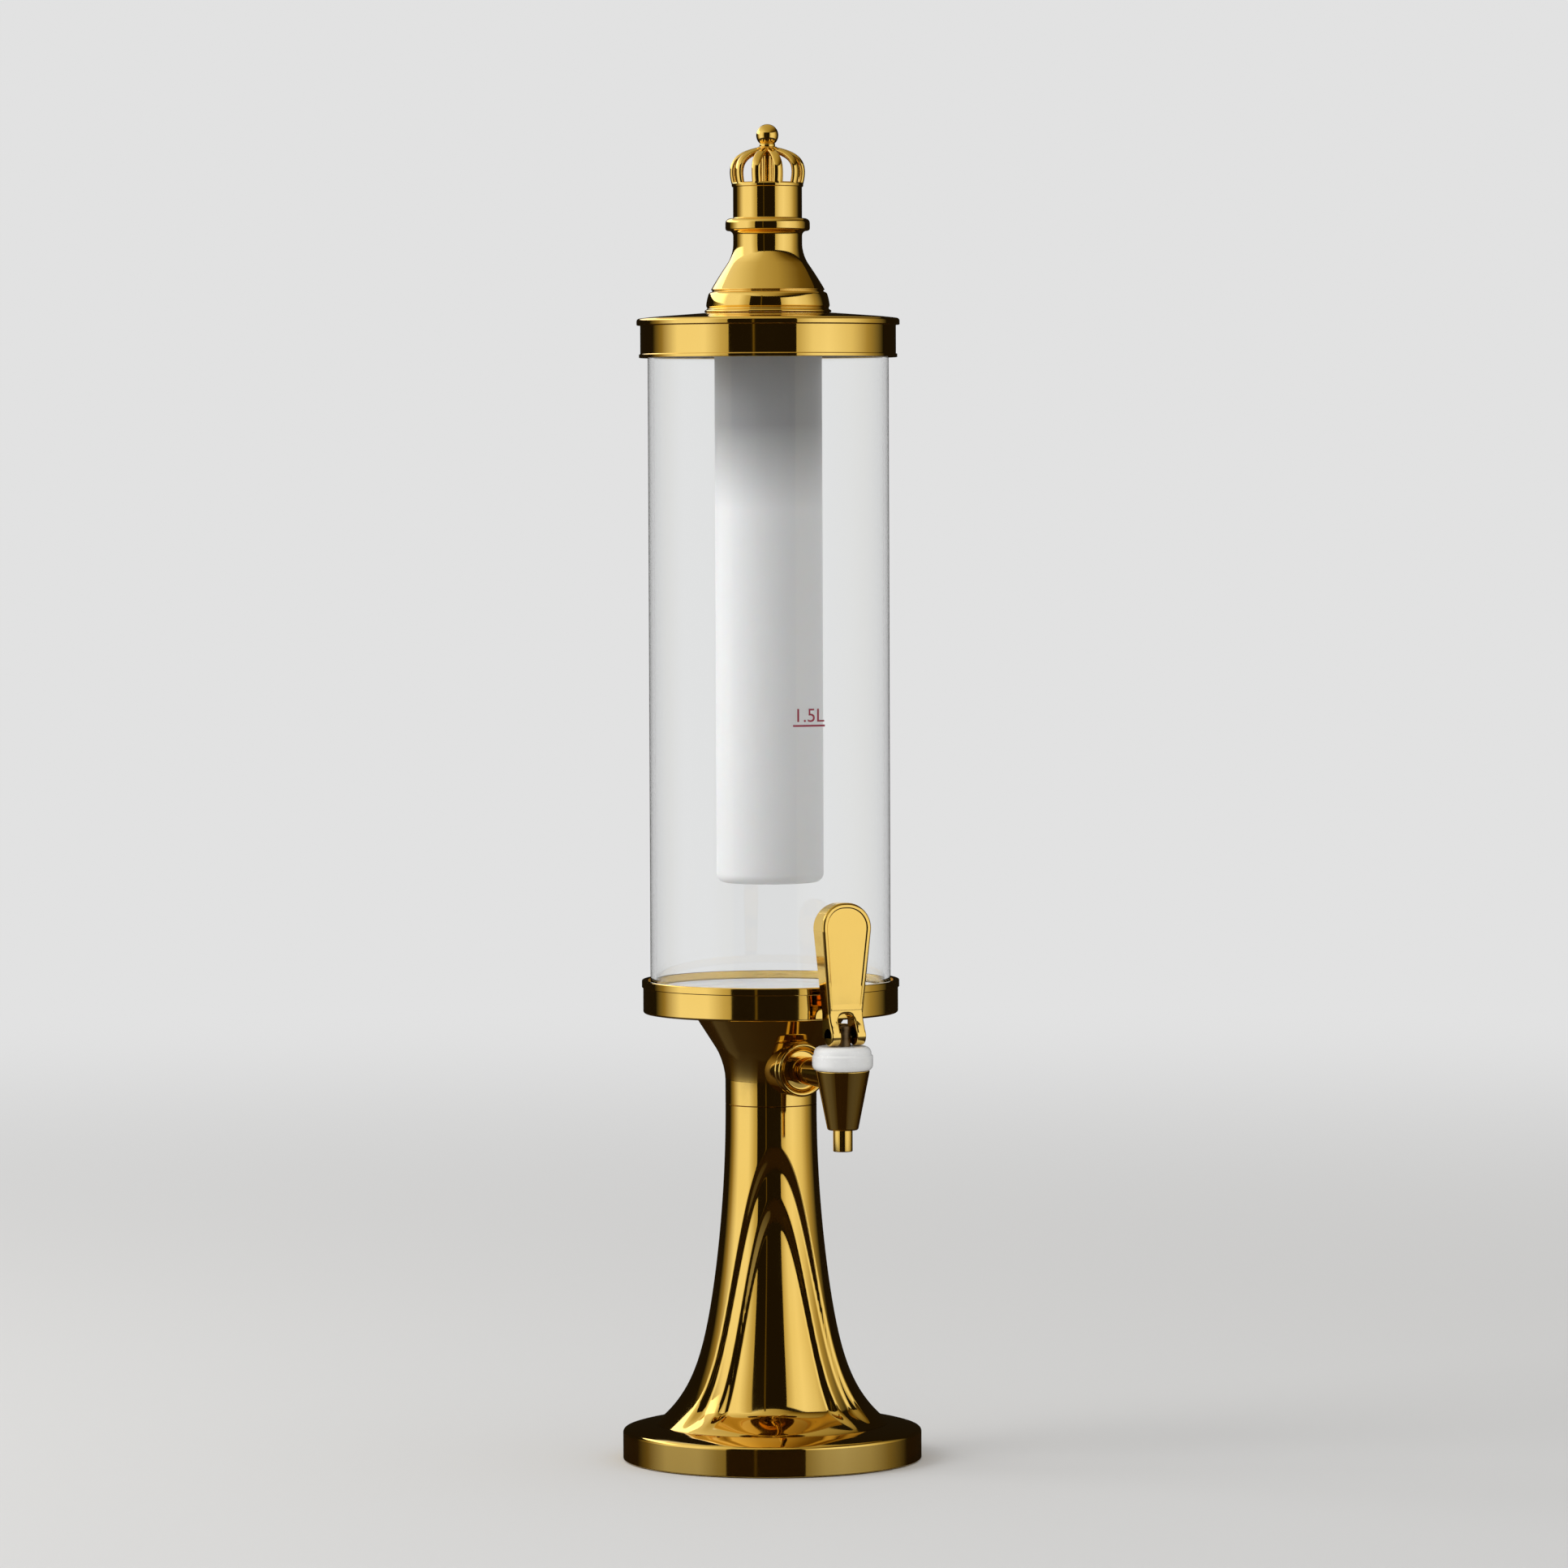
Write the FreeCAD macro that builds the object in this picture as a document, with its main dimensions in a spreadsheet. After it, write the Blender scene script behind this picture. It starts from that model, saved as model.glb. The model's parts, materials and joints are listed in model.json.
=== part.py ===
"""A three-litre beer tower: base, stem, tap, clear tube, ice tube, lid and crowned finial.

The tower stands on +Z with its origin at the centre of the base's underside. The tap points to -Y.
All sizes are in millimetres.
"""
import FreeCAD
import Part
import Sketcher

import math
import os
import re

SIZES = {
    # base
    "pad_thickness": 1.5,
    "plate_thickness": 1.2,
    "base_radius": 81.0,
    "base_height": 19.8,
    "base_wall": 2.5,
    "rim_wall": 2.5,
    "rim_height": 14.3,
    "rim_gap": 0.5,
    "rim_rounding": 2.0,
    "foot_lip": 1.5,
    "locator_inset": 3.5,
    "locator_height": 2.0,
    "ballast_thickness": 8.0,
    "ballast_bore": 14.0,
    "base_screw_radius": 1.5,
    "base_screw_length": 7.0,
    "base_screw_count": 4,
    "boss_wall": 2.0,
    # stem
    "stem_length": 173.3,
    "foot_radius": 63.0,
    "stem_top_radius": 24.7,
    "relief_step": 2.4,
    "stem_wall": 2.4,
    "outer_arch_drop": 20.8,
    "inner_arch_drop": 47.8,
    "outer_arch_angle": 59.0,
    "inner_arch_angle": 41.0,
    "arch_turn": -22.0,
    # tie rod
    "tie_radius": 4.0,
    "tie_washer_radius": 11.0,
    "tie_washer_thickness": 1.6,
    "tie_nut_flats": 13.0,
    "tie_nut_height": 6.5,
    "tie_stub": 1.5,
    # neck
    "neck_length": 49.7,
    "neck_wall": 3.0,
    "neck_floor": 3.0,
    "spigot_depth": 8.0,
    "mouth_radius": 42.0,
    "cone_height": 27.0,
    "cone_blend": 20.0,
    # cup and tube
    "cup_height": 18.0,
    "cup_wall": 2.0,
    "cup_floor": 3.0,
    "cup_lip": 0.7,
    "cup_lip_height": 4.0,
    "cup_screw_radius": 2.0,
    "cup_screw_count": 4,
    "cup_screw_length": 8.0,
    "tube_radius": 65.0,
    "tube_wall": 3.0,
    "tube_length": 362.0,
    "gasket_thickness": 2.0,
    "gasket_height": 9.0,
    "floor_height": 11.0,
    "floor_plate": 2.5,
    "floor_wall": 2.0,
    "floor_fall": 1.5,
    "floor_step": 1.0,
    "mark_height": 152.0,
    "mark_width": 18.0,
    "mark_line": 1.0,
    "mark_film": 0.15,
    "mark_angle": 8.0,
    # drain and outlet
    "drain_bore": 3.6,
    "drain_radius": 5.0,
    "drain_head_radius": 10.0,
    "drain_head_thickness": 2.0,
    "drain_nut_flats": 18.0,
    "drain_nut_height": 6.0,
    "drain_washer_thickness": 1.5,
    "drain_tail": 10.0,
    "hose_wall": 3.0,
    # lid
    "lid_overlap": 13.0,
    "lid_wall": 2.0,
    "lid_plate": 6.0,
    "lid_flange": 3.5,
    "lid_flange_over": 2.0,
    "lid_dome": 3.0,
    "lid_lip": 0.7,
    "lid_lip_height": 2.0,
    "lid_gasket_thickness": 1.7,
    "lid_gasket_depth": 7.0,
    # ice tube
    "ice_radius": 29.0,
    "ice_wall": 1.5,
    "ice_length": 307.0,
    "ice_rounding": 5.0,
    "ice_flange_over": 2.5,
    "ice_flange_thickness": 2.0,
    "ring_nut_wall": 4.0,
    "ring_nut_height": 7.0,
    # finial
    "finial_foot_radius": 34.2,
    "finial_cove_height": 3.0,
    "finial_step_radius": 32.2,
    "finial_step_spread": 1.2,
    "finial_step_height": 8.0,
    "finial_groove": 1.0,
    "bell_radius": 30.8,
    "bell_height": 19.5,
    "bell_blend": 9.0,
    "column_radius": 18.6,
    "column_length": 36.0,
    "bead_radius": 22.8,
    "bead_height": 9.4,
    "bead_drop": 9.7,
    "bead_cove": 2.7,
    "bead_nose": 1.4,
    "finial_wall": 2.5,
    "finial_foot_wall": 4.5,
    "stopper_depth": 12.0,
    "stopper_wall": 2.6,
    "stopper_spigot": 4.0,
    "stopper_seal_height": 3.0,
    "stopper_seal_depth": 1.4,
    "finial_screw_radius": 2.5,
    "finial_screw_length": 24.0,
    # crown
    "crown_band_radius": 19.3,
    "crown_band_height": 2.5,
    "crown_strap_count": 10,
    "crown_turn": -10.0,
    "crown_strap": 2.6,
    "crown_strap_width": 4.3,
    "crown_bulge": 20.2,
    "crown_bulge_height": 8.0,
    "crown_shoulder_radius": 18.6,
    "crown_shoulder_drop": 4.8,
    "crown_roof_radius": 14.0,
    "crown_roof_drop": 1.6,
    "crown_height": 18.0,
    "crown_hub_wall": 1.6,
    "ball_radius": 6.0,
    "post_radius": 4.1,
    # tap
    "tap_rise": 21.0,
    "tap_reach": 84.0,
    "shank_radius": 7.0,
    "shank_bore": 3.5,
    "boss_radius": 14.5,
    "boss_reach": 33.8,
    "boss_pad": 16.0,
    "collar_ring_thickness": 2.5,
    "collar_rim": 2.0,
    "shank_tube_radius": 7.6,
    "shank_nut_flats": 20.0,
    "shank_nut_height": 4.5,
    "shank_washer_thickness": 1.2,
    "tail_gap": 6.0,
    "tap_top_rise": 3.2,
    "tap_top_radius": 14.5,
    "tap_bottom_radius": 8.2,
    "tap_cone_height": 31.7,
    "chamber_radius": 9.0,
    "chamber_depth": 18.6,
    "spigot_radius": 12.0,
    "spigot_rise": 5.4,
    "outlet_radius": 4.0,
    "tip_radius": 5.2,
    "tip_length": 11.5,
    "tip_socket": 5.5,
    "bonnet_radius": 16.2,
    "bonnet_height": 13.0,
    "bonnet_rounding": 3.6,
    # valve
    "plunger_radius": 4.4,
    "plunger_rod_radius": 3.0,
    "plunger_head_rise": 6.5,
    "valve_seal_radius": 7.4,
    "valve_seal_height": 6.0,
    "valve_flange_radius": 7.0,
    "valve_flange_height": 1.5,
    "bellows_folds": 4,
    "bellows_inner_radius": 5.2,
    "bellows_outer_radius": 7.4,
    "bellows_wall": 0.8,
    "pin_radius": 1.5,
    # handle
    "handle_length": 71.0,
    "handle_width": 29.0,
    "handle_waist": 20.5,
    "handle_thickness": 12.5,
    "fork_thickness": 8.6,
    "fork_leg": 5.4,
    "slot_height": 17.0,
    "cam_radius": 5.1,
    "cam_offset": 3.0,
    "cam_gap": 0.4,
    "handle_rounding": 2.6,
    "panel_margin": 3.2,
    "panel_depth": 0.8,
    # clearances and broken edges
    "edge_break": 1.0,
    "fit_gap": 0.05,
    "part_gap": 0.3,
    "loose_gap": 0.5,
}

doc = FreeCAD.newDocument("beer_tower")
sheet = doc.addObject("Spreadsheet::Sheet", "sizes")
for row, (alias, number) in enumerate(SIZES.items(), start=1):
    sheet.set(f"A{row}", alias)
    sheet.set(f"B{row}", str(number))
    sheet.setAlias(f"B{row}", alias)
doc.recompute()

WORD = re.compile(r"[a-z][a-z_]+")
X_AXIS = FreeCAD.Vector(1, 0, 0)
Y_AXIS = FreeCAD.Vector(0, 1, 0)
Z_AXIS = FreeCAD.Vector(0, 0, 1)
UPRIGHT = FreeCAD.Rotation()
TO_FRONT = FreeCAD.Rotation(X_AXIS, 90)
TO_SIDE = FreeCAD.Rotation(Y_AXIS, 90)
FIRST_TURN = 45
nodes = []


# ---------------------------------------------------------------- levels along the axis
PLATE_TOP = "(pad_thickness + plate_thickness)"
WEB_LOW = "(base_height - base_wall)"
SEAM = "(base_height + stem_length)"
NECK_WEB = f"({SEAM} - spigot_depth)"
CUP_LOW = f"({SEAM} + neck_length)"
CUP_TOP = f"({CUP_LOW} + cup_height)"
CUP_SEAT = f"({CUP_LOW} + cup_floor)"
TUBE_LOW = f"({CUP_SEAT} + gasket_thickness)"
TUBE_TOP = f"({TUBE_LOW} + tube_length)"
FLOOR_TOP = f"({CUP_SEAT} + floor_height)"
LID_LOW = f"({TUBE_TOP} - lid_overlap)"
LID_CEILING = f"({TUBE_TOP} + part_gap + lid_gasket_thickness)"
LID_SHOULDER = f"({LID_CEILING} + lid_plate)"
LID_TOP = f"({LID_SHOULDER} + lid_dome)"
ICE_TOP = f"({LID_TOP} - part_gap)"
ICE_SEAT = f"({ICE_TOP} - ice_flange_thickness)"
FINIAL_LOW = f"({LID_TOP} + part_gap)"
STEP_LOW = f"({FINIAL_LOW} + finial_cove_height)"
STEP_TOP = f"({STEP_LOW} + finial_step_height)"
BELL_LOW = f"({STEP_TOP} + finial_groove)"
BELL_TOP = f"({BELL_LOW} + bell_height)"
BEAD_LOW = f"({BELL_TOP} + bead_drop)"
BEAD_TOP = f"({BEAD_LOW} + bead_height)"
COLUMN_TOP = f"({BELL_TOP} + column_length)"
CROWN_BASE = f"({COLUMN_TOP} + crown_band_height)"
CROWN_TOP = f"({CROWN_BASE} + crown_height)"
TAP_LEVEL = f"({SEAM} + tap_rise)"
BONNET_LOW = f"({TAP_LEVEL} + tap_top_rise)"
BONNET_TOP = f"({BONNET_LOW} + bonnet_height)"
VALVE_SEAT = f"({BONNET_LOW} - chamber_depth)"
TAP_LOW = f"({BONNET_LOW} - tap_cone_height)"
PIN_LEVEL = f"({BONNET_TOP} + cam_gap + cam_radius)"
HANDLE_TOP = f"({PIN_LEVEL} + handle_length)"
SEAL_LOW = f"({VALVE_SEAT} + part_gap)"
SEAL_TOP = f"({SEAL_LOW} + valve_seal_height)"
FLANGE_TOP = f"({SEAL_TOP} + valve_flange_height)"


# ---------------------------------------------------------------- helpers
def bound(text):
    """Writes 'tube_radius - tube_wall' as an expression on the sheet's cells."""
    return WORD.sub(lambda word: "sizes." + word.group(0) if word.group(0) in SIZES else word.group(0), text)


def value(text):
    """Number that an expression on the sheet has now."""
    return float(sheet.evalExpression(bound(text)))


def bind(thing, prop, text):
    thing.setExpression(prop, bound(text))


def publish(thing, label):
    """Gives a finished sub-part its name and puts it on the list of nodes."""
    thing.Label = label
    nodes.append(thing)
    return thing


def place(thing, at, turn=UPRIGHT):
    """Puts a thing at a point given by three expressions, turned by a rotation."""
    thing.Placement = FreeCAD.Placement(FreeCAD.Vector(*[value(text) for text in at]), turn)
    for prop, text in zip(("x", "y", "z"), at):
        bind(thing, f"Placement.Base.{prop}", text)
    return thing


def origin_plane(body, role):
    return next(plane for plane in body.Origin.OriginFeatures if plane.Role == role)


def quarter(across, up, size, first, second):
    """Quarter-round at a corner, from its side towards `first` to its side towards `second`."""
    bend = f"{1 - math.sqrt(0.5):.7f} * {size}"
    start = (f"{across} + {first[0]} * {size}", f"{up} + {first[1]} * {size}")
    middle = ("via", f"{across} + {first[0] + second[0]} * {bend}", f"{up} + {first[1] + second[1]} * {bend}")
    finish = (f"{across} + {second[0]} * {size}", f"{up} + {second[1]} * {size}")
    return [start, middle, finish]


def hold(sketch, element, end, across, up):
    """Fixes a sketch point at (across, up); an across of '0' puts it on the vertical axis."""
    if across == "0":
        sketch.addConstraint(Sketcher.Constraint("PointOnObject", element, end, -2))
    else:
        row = sketch.addConstraint(Sketcher.Constraint("DistanceX", -1, 1, element, end, value(across)))
        bind(sketch, f"Constraints[{row}]", across)
    if up == "0":
        sketch.addConstraint(Sketcher.Constraint("PointOnObject", element, end, -1))
    else:
        row = sketch.addConstraint(Sketcher.Constraint("DistanceY", -1, 1, element, end, value(up)))
        bind(sketch, f"Constraints[{row}]", up)


def draw_loop(sketch, outline):
    """Draws one closed loop of lines and arcs; ('via', a, b) makes its neighbours' edge an arc."""
    corners = [entry for entry in outline if entry[0] != "via"]
    middles = {}
    seen = 0
    for entry in outline:
        if entry[0] == "via":
            middles[seen - 1] = entry[1:]
        else:
            seen += 1
    spots = [FreeCAD.Vector(value(across), value(up), 0) for across, up in corners]
    ends = []
    for number, spot in enumerate(spots):
        following = spots[(number + 1) % len(spots)]
        if number in middles:
            across, up = middles[number]
            middle = FreeCAD.Vector(value(across), value(up), 0)
            edge = sketch.addGeometry(Part.Arc(spot, middle, following))
            starts_here = sketch.getPoint(edge, 1).distanceToPoint(spot) < 1e-6
            ends.append((edge, 1, 2) if starts_here else (edge, 2, 1))
            helper = sketch.addGeometry(Part.Point(middle), True)
            hold(sketch, helper, 1, across, up)
            sketch.addConstraint(Sketcher.Constraint("PointOnObject", helper, 1, edge))
        else:
            ends.append((sketch.addGeometry(Part.LineSegment(spot, following)), 1, 2))
    for number, (edge, start, finish) in enumerate(ends):
        next_edge, next_start, _ = ends[(number + 1) % len(ends)]
        sketch.addConstraint(Sketcher.Constraint("Coincident", edge, finish, next_edge, next_start))
        hold(sketch, edge, start, *corners[number])


def new_sketch(body, name, role):
    sketch = body.newObject("Sketcher::SketchObject", name + "_sketch")
    sketch.AttachmentSupport = [(origin_plane(body, role), "")]
    sketch.MapMode = "FlatFace"
    return sketch


def lathe(name, *loops, sweep="360"):
    """Body turned about the vertical axis from closed loops of (radius, height) points."""
    body = doc.addObject("PartDesign::Body", name)
    sketch = new_sketch(body, name, "XZ_Plane")
    for loop in loops:
        draw_loop(sketch, loop)
    turned = body.newObject("PartDesign::Revolution", name + "_turned")
    turned.Profile = sketch
    turned.ReferenceAxis = (sketch, ["V_Axis"])
    turned.Midplane = True
    bind(turned, "Angle", sweep)
    sketch.Visibility = False
    return body


def soften(body, across, up, size):
    """Rounds the edge that a turned body has at (across, up)."""
    doc.recompute()
    turned = body.Tip
    corner = Part.Vertex(FreeCAD.Vector(value(across), 0, value(up)))
    distances = [edge.distToShape(corner)[0] for edge in turned.Shape.Edges]
    rounded = body.newObject("PartDesign::Fillet", body.Name + "_blend")
    rounded.Base = (turned, [f"Edge{distances.index(min(distances)) + 1}"])
    bind(rounded, "Radius", size)


def prism(name, role, outline, length):
    """Body padded both ways from an outline on one of its planes."""
    body = doc.addObject("PartDesign::Body", name)
    sketch = new_sketch(body, name, role)
    draw_loop(sketch, outline)
    pad = body.newObject("PartDesign::Pad", name + "_pad")
    pad.Profile = sketch
    pad.Midplane = True
    bind(pad, "Length", length)
    return body


def ring(name, inner, outer, low, high):
    """Turned ring or disc with a square section."""
    return lathe(name, [(inner, low), (outer, low), (outer, high), (inner, high)])


def rod(name, radius, length, at, turn=UPRIGHT):
    """Plain cylinder that starts at a point and runs along its turned Z axis."""
    cylinder = doc.addObject("Part::Cylinder", name)
    bind(cylinder, "Radius", radius)
    bind(cylinder, "Height", length)
    return place(cylinder, at, turn)


def cone(name, low_radius, high_radius, length, at, turn=UPRIGHT):
    shape = doc.addObject("Part::Cone", name)
    bind(shape, "Radius1", low_radius)
    bind(shape, "Radius2", high_radius)
    bind(shape, "Height", length)
    return place(shape, at, turn)


def hexagon(name, flats, length, at, turn=UPRIGHT):
    """Six-sided bar, by its size across flats."""
    bar = doc.addObject("Part::Prism", name)
    bar.Polygon = 6
    bind(bar, "Circumradius", f"{flats} / {math.sqrt(3):.7f}")
    bind(bar, "Height", length)
    return place(bar, at, turn)


def cut(name, base, tool):
    result = doc.addObject("Part::Cut", name)
    result.Base = base
    result.Tool = tool
    return result


def fuse(name, *shapes):
    result = doc.addObject("Part::MultiFuse", name)
    result.Shapes = list(shapes)
    result.Refine = True
    return result


def common(name, *shapes):
    result = doc.addObject("Part::MultiCommon", name)
    result.Shapes = list(shapes)
    return result


def group(name, *shapes):
    result = doc.addObject("Part::Compound", name)
    result.Links = list(shapes)
    return result


def around(name, count, radius, make, start=FIRST_TURN):
    """Copies of one piece on a circle: make(name, x, y) builds each at its own place."""
    copies = []
    for number in range(int(value(count))):
        turn = start + 360 * number / int(value(count))
        across = f"{math.cos(math.radians(turn)):.7f} * ({radius})"
        away = f"{math.sin(math.radians(turn)):.7f} * ({radius})"
        copies.append(make(f"{name}_{number + 1}", across, away))
    return group(name, *copies)


def hex_nut(name, flats, height, bore, at, turn=UPRIGHT):
    return cut(name, hexagon(name + "_bar", flats, height, at, turn), rod(name + "_hole", bore, height, at, turn))


# ---------------------------------------------------------------- base
SCREW_CIRCLE = "(base_radius - rim_wall - base_screw_radius - boss_wall - loose_gap)"
BOSS_RADIUS = "(base_screw_radius + boss_wall)"
CAVITY = "(base_radius - rim_wall)"
BALLAST_RADIUS = f"({SCREW_CIRCLE} - {BOSS_RADIUS} - part_gap)"


def make_base_disc():
    """Cast disc: an upright rim, a rounded edge and a shallow dome up to the stem's foot."""
    shell = lathe("base_shell", [
        (CAVITY, "rim_gap"),
        ("base_radius", "rim_gap"),
        *quarter("base_radius", "rim_height + rim_rounding", "rim_rounding", (0, -1), (-1, 0)),
        ("foot_radius + foot_lip", "base_height"),
        ("tie_radius + fit_gap", "base_height"),
        ("tie_radius + fit_gap", WEB_LOW),
        ("foot_radius + foot_lip", WEB_LOW),
        (CAVITY, "rim_height + rim_rounding - base_wall"),
    ])
    locator = ring("base_locator", f"{FOOT_BORE} - locator_inset - base_wall", f"{FOOT_BORE} - locator_inset",
                   WEB_LOW, "base_height + locator_height")
    envelope = lathe("base_envelope", [
        ("0", PLATE_TOP),
        ("base_radius", PLATE_TOP),
        ("base_radius", "rim_height"),
        ("foot_radius + foot_lip", "base_height - rim_gap"),
        ("0", "base_height - rim_gap"),
    ])

    def boss(name, across, away):
        return rod(name, BOSS_RADIUS, f"base_height - {PLATE_TOP}", (across, away, PLATE_TOP))

    def hole(name, across, away):
        depth = "base_screw_length - plate_thickness + loose_gap"
        return rod(name, "base_screw_radius + fit_gap", depth, (across, away, PLATE_TOP))

    bosses = around("base_bosses", "base_screw_count", SCREW_CIRCLE, boss)
    holes = around("base_boss_holes", "base_screw_count", SCREW_CIRCLE, hole)
    solid = fuse("base_solid", shell, locator, common("base_boss_set", envelope, bosses))
    publish(cut("base_disc_cut", solid, holes), "base_disc")


def make_base_underside():
    """Rubber pad, steel plate with countersunk screws, and the cast-iron ballast on the plate."""
    pad = lathe("pad_turned", [("0", "0"), (f"{CAVITY} - loose_gap", "0"),
                               (f"{CAVITY} - loose_gap", "pad_thickness"), ("0", "pad_thickness")])
    publish(pad, "base_pad")

    def sink(name, across, away):
        return cone(name, "2 * base_screw_radius", "base_screw_radius + fit_gap", "plate_thickness",
                    (across, away, "pad_thickness"))

    def screw(name, across, away):
        head = cone(name + "_head", "2 * base_screw_radius - fit_gap", "base_screw_radius", "plate_thickness",
                    (across, away, "pad_thickness"))
        shank = rod(name + "_shank", "base_screw_radius", "base_screw_length", (across, away, "pad_thickness"))
        return fuse(name, head, shank)

    plate = lathe("plate_turned", [("0", "pad_thickness"), (f"{CAVITY} - part_gap", "pad_thickness"),
                                   (f"{CAVITY} - part_gap", PLATE_TOP), ("0", PLATE_TOP)])
    sinks = around("plate_sinks", "base_screw_count", SCREW_CIRCLE, sink)
    publish(cut("plate_cut", plate, sinks), "base_plate")
    publish(around("plate_screws", "base_screw_count", SCREW_CIRCLE, screw), "base_screws")
    publish(ring("ballast", "ballast_bore", BALLAST_RADIUS, PLATE_TOP, f"{PLATE_TOP} + ballast_thickness"),
            "base_ballast")


# ---------------------------------------------------------------- stem
STEM_SHELL = "(2 * relief_step + stem_wall)"
FOOT_BORE = f"(foot_radius - {STEM_SHELL})"
STEM_SPREAD_SLOW = 0.55
STEM_SPREAD_FAST = 0.45
STEM_POINTS = 24
STEM_POINT_CROWDING = 1.5
ARCH_POINTS = 9


def stem_radius(level, inset):
    """Radius of the trumpet at a height: a gentle flare with a sudden spread at its foot."""
    low = value("base_height")
    drop = (value(SEAM) - level) / (value(SEAM) - low)
    spread = STEM_SPREAD_SLOW * drop ** 2 + STEM_SPREAD_FAST * drop ** 10
    return value("stem_top_radius") + (value("foot_radius") - value("stem_top_radius")) * spread - inset


def trumpet(inset, below=0.0):
    """Solid of revolution inside the stem's skin by `inset`, run on `below` its foot."""
    low = value("base_height")
    high = value(SEAM)
    shares = [(number / STEM_POINTS) ** STEM_POINT_CROWDING for number in range(STEM_POINTS + 1)]
    levels = [low + (high - low) * share for share in shares]
    curve = Part.BSplineCurve()
    curve.interpolate([FreeCAD.Vector(stem_radius(level, inset), 0, level) for level in levels])
    foot = FreeCAD.Vector(stem_radius(low, inset), 0, low)
    base = foot - Z_AXIS * below
    top = FreeCAD.Vector(stem_radius(high, inset), 0, high + below)
    corners = [FreeCAD.Vector(stem_radius(high, inset), 0, high), top, FreeCAD.Vector(0, 0, top.z),
               FreeCAD.Vector(0, 0, base.z), base, foot]
    corners = [spot for number, spot in enumerate(corners) if number == 0 or spot != corners[number - 1]]
    edges = [curve.toShape()]
    edges += [Part.makeLine(start, finish) for start, finish in zip(corners, corners[1:])]
    return Part.Face(Part.Wire(edges)).revolve(FreeCAD.Vector(), Z_AXIS, 360)


def arch_block(apex, foot_angle, below):
    """Block behind an arched outline: its half-angle round the stem follows a quarter ellipse."""
    low = value("base_height")
    right = []
    for number in range(ARCH_POINTS):
        turn = math.radians(90 * number / (ARCH_POINTS - 1))
        level = low + (apex - low) * math.sin(turn)
        reach = stem_radius(level, 0) * math.sin(math.radians(foot_angle) * math.cos(turn))
        right.append(FreeCAD.Vector(reach, 0, level))
    left = [FreeCAD.Vector(-spot.x, 0, spot.z) for spot in reversed(right[:-1])]
    curve = Part.BSplineCurve()
    curve.interpolate(right + left)
    drop = Z_AXIS * below
    edges = [curve.toShape(), Part.makeLine(left[-1], left[-1] - drop),
             Part.makeLine(left[-1] - drop, right[0] - drop), Part.makeLine(right[0] - drop, right[0])]
    depth = 2 * value("foot_radius")
    face = Part.Face(Part.Wire(edges))
    face.translate(-Y_AXIS * depth)
    return face.extrude(Y_AXIS * 2 * depth)


def make_stem():
    """Cast trumpet with two nested arches stepped into its front and its back."""
    step = value("relief_step")
    run_out = 1.0
    high = value(SEAM)
    stem = trumpet(0)
    outer_block = arch_block(high - value("outer_arch_drop"), value("outer_arch_angle"), run_out)
    inner_block = arch_block(high - value("inner_arch_drop"), value("inner_arch_angle"), run_out)
    stem = stem.cut(outer_block.cut(trumpet(step, 2 * run_out)))
    stem = stem.cut(inner_block.cut(trumpet(2 * step, 2 * run_out)))
    stem = stem.cut(trumpet(value(STEM_SHELL), run_out))
    feature = doc.addObject("Part::Feature", "stem_cast")
    feature.Shape = stem
    feature.Placement = FreeCAD.Placement(FreeCAD.Vector(), FreeCAD.Rotation(Z_AXIS, value("arch_turn")))
    publish(feature, "stem")


# ---------------------------------------------------------------- tie rod
STEM_BORE = f"(stem_top_radius - {STEM_SHELL})"
SPIGOT_RADIUS = f"({STEM_BORE} - part_gap)"
LOW_NUT = f"({WEB_LOW} - tie_washer_thickness - tie_nut_height)"
HIGH_WASHER = f"({NECK_WEB} + neck_floor)"
HIGH_NUT = f"({HIGH_WASHER} + tie_washer_thickness)"


def make_tie_rod():
    """Threaded rod, two nuts and two washers that hold base, stem and neck together."""
    low = f"{LOW_NUT} - tie_stub"
    high = f"{HIGH_NUT} + tie_nut_height + tie_stub"
    publish(rod("tie_shaft", "tie_radius", f"{high} - ({low})", ("0", "0", low)), "tie_rod")
    nuts = [hex_nut(f"tie_nut_{number}", "tie_nut_flats", "tie_nut_height", "tie_radius + fit_gap",
                    ("0", "0", level)) for number, level in enumerate((LOW_NUT, HIGH_NUT), start=1)]
    publish(group("tie_nut_pair", *nuts), "tie_nuts")
    low_washer = f"({WEB_LOW} - tie_washer_thickness)"
    washers = [ring(f"tie_washer_{number}", "tie_radius + fit_gap", "tie_washer_radius", level,
                    f"{level} + tie_washer_thickness")
               for number, level in enumerate((low_washer, HIGH_WASHER), start=1)]
    publish(group("tie_washer_pair", *washers), "tie_washers")


# ---------------------------------------------------------------- neck
CONE_LOW = f"({CUP_LOW} - cone_height)"
NECK_BORE = "(stem_top_radius - neck_wall)"
NECK_STRAIGHT = f"({SEAM} + spigot_depth)"
SCREW_RING = "(mouth_radius - 2 * neck_wall)"


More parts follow.
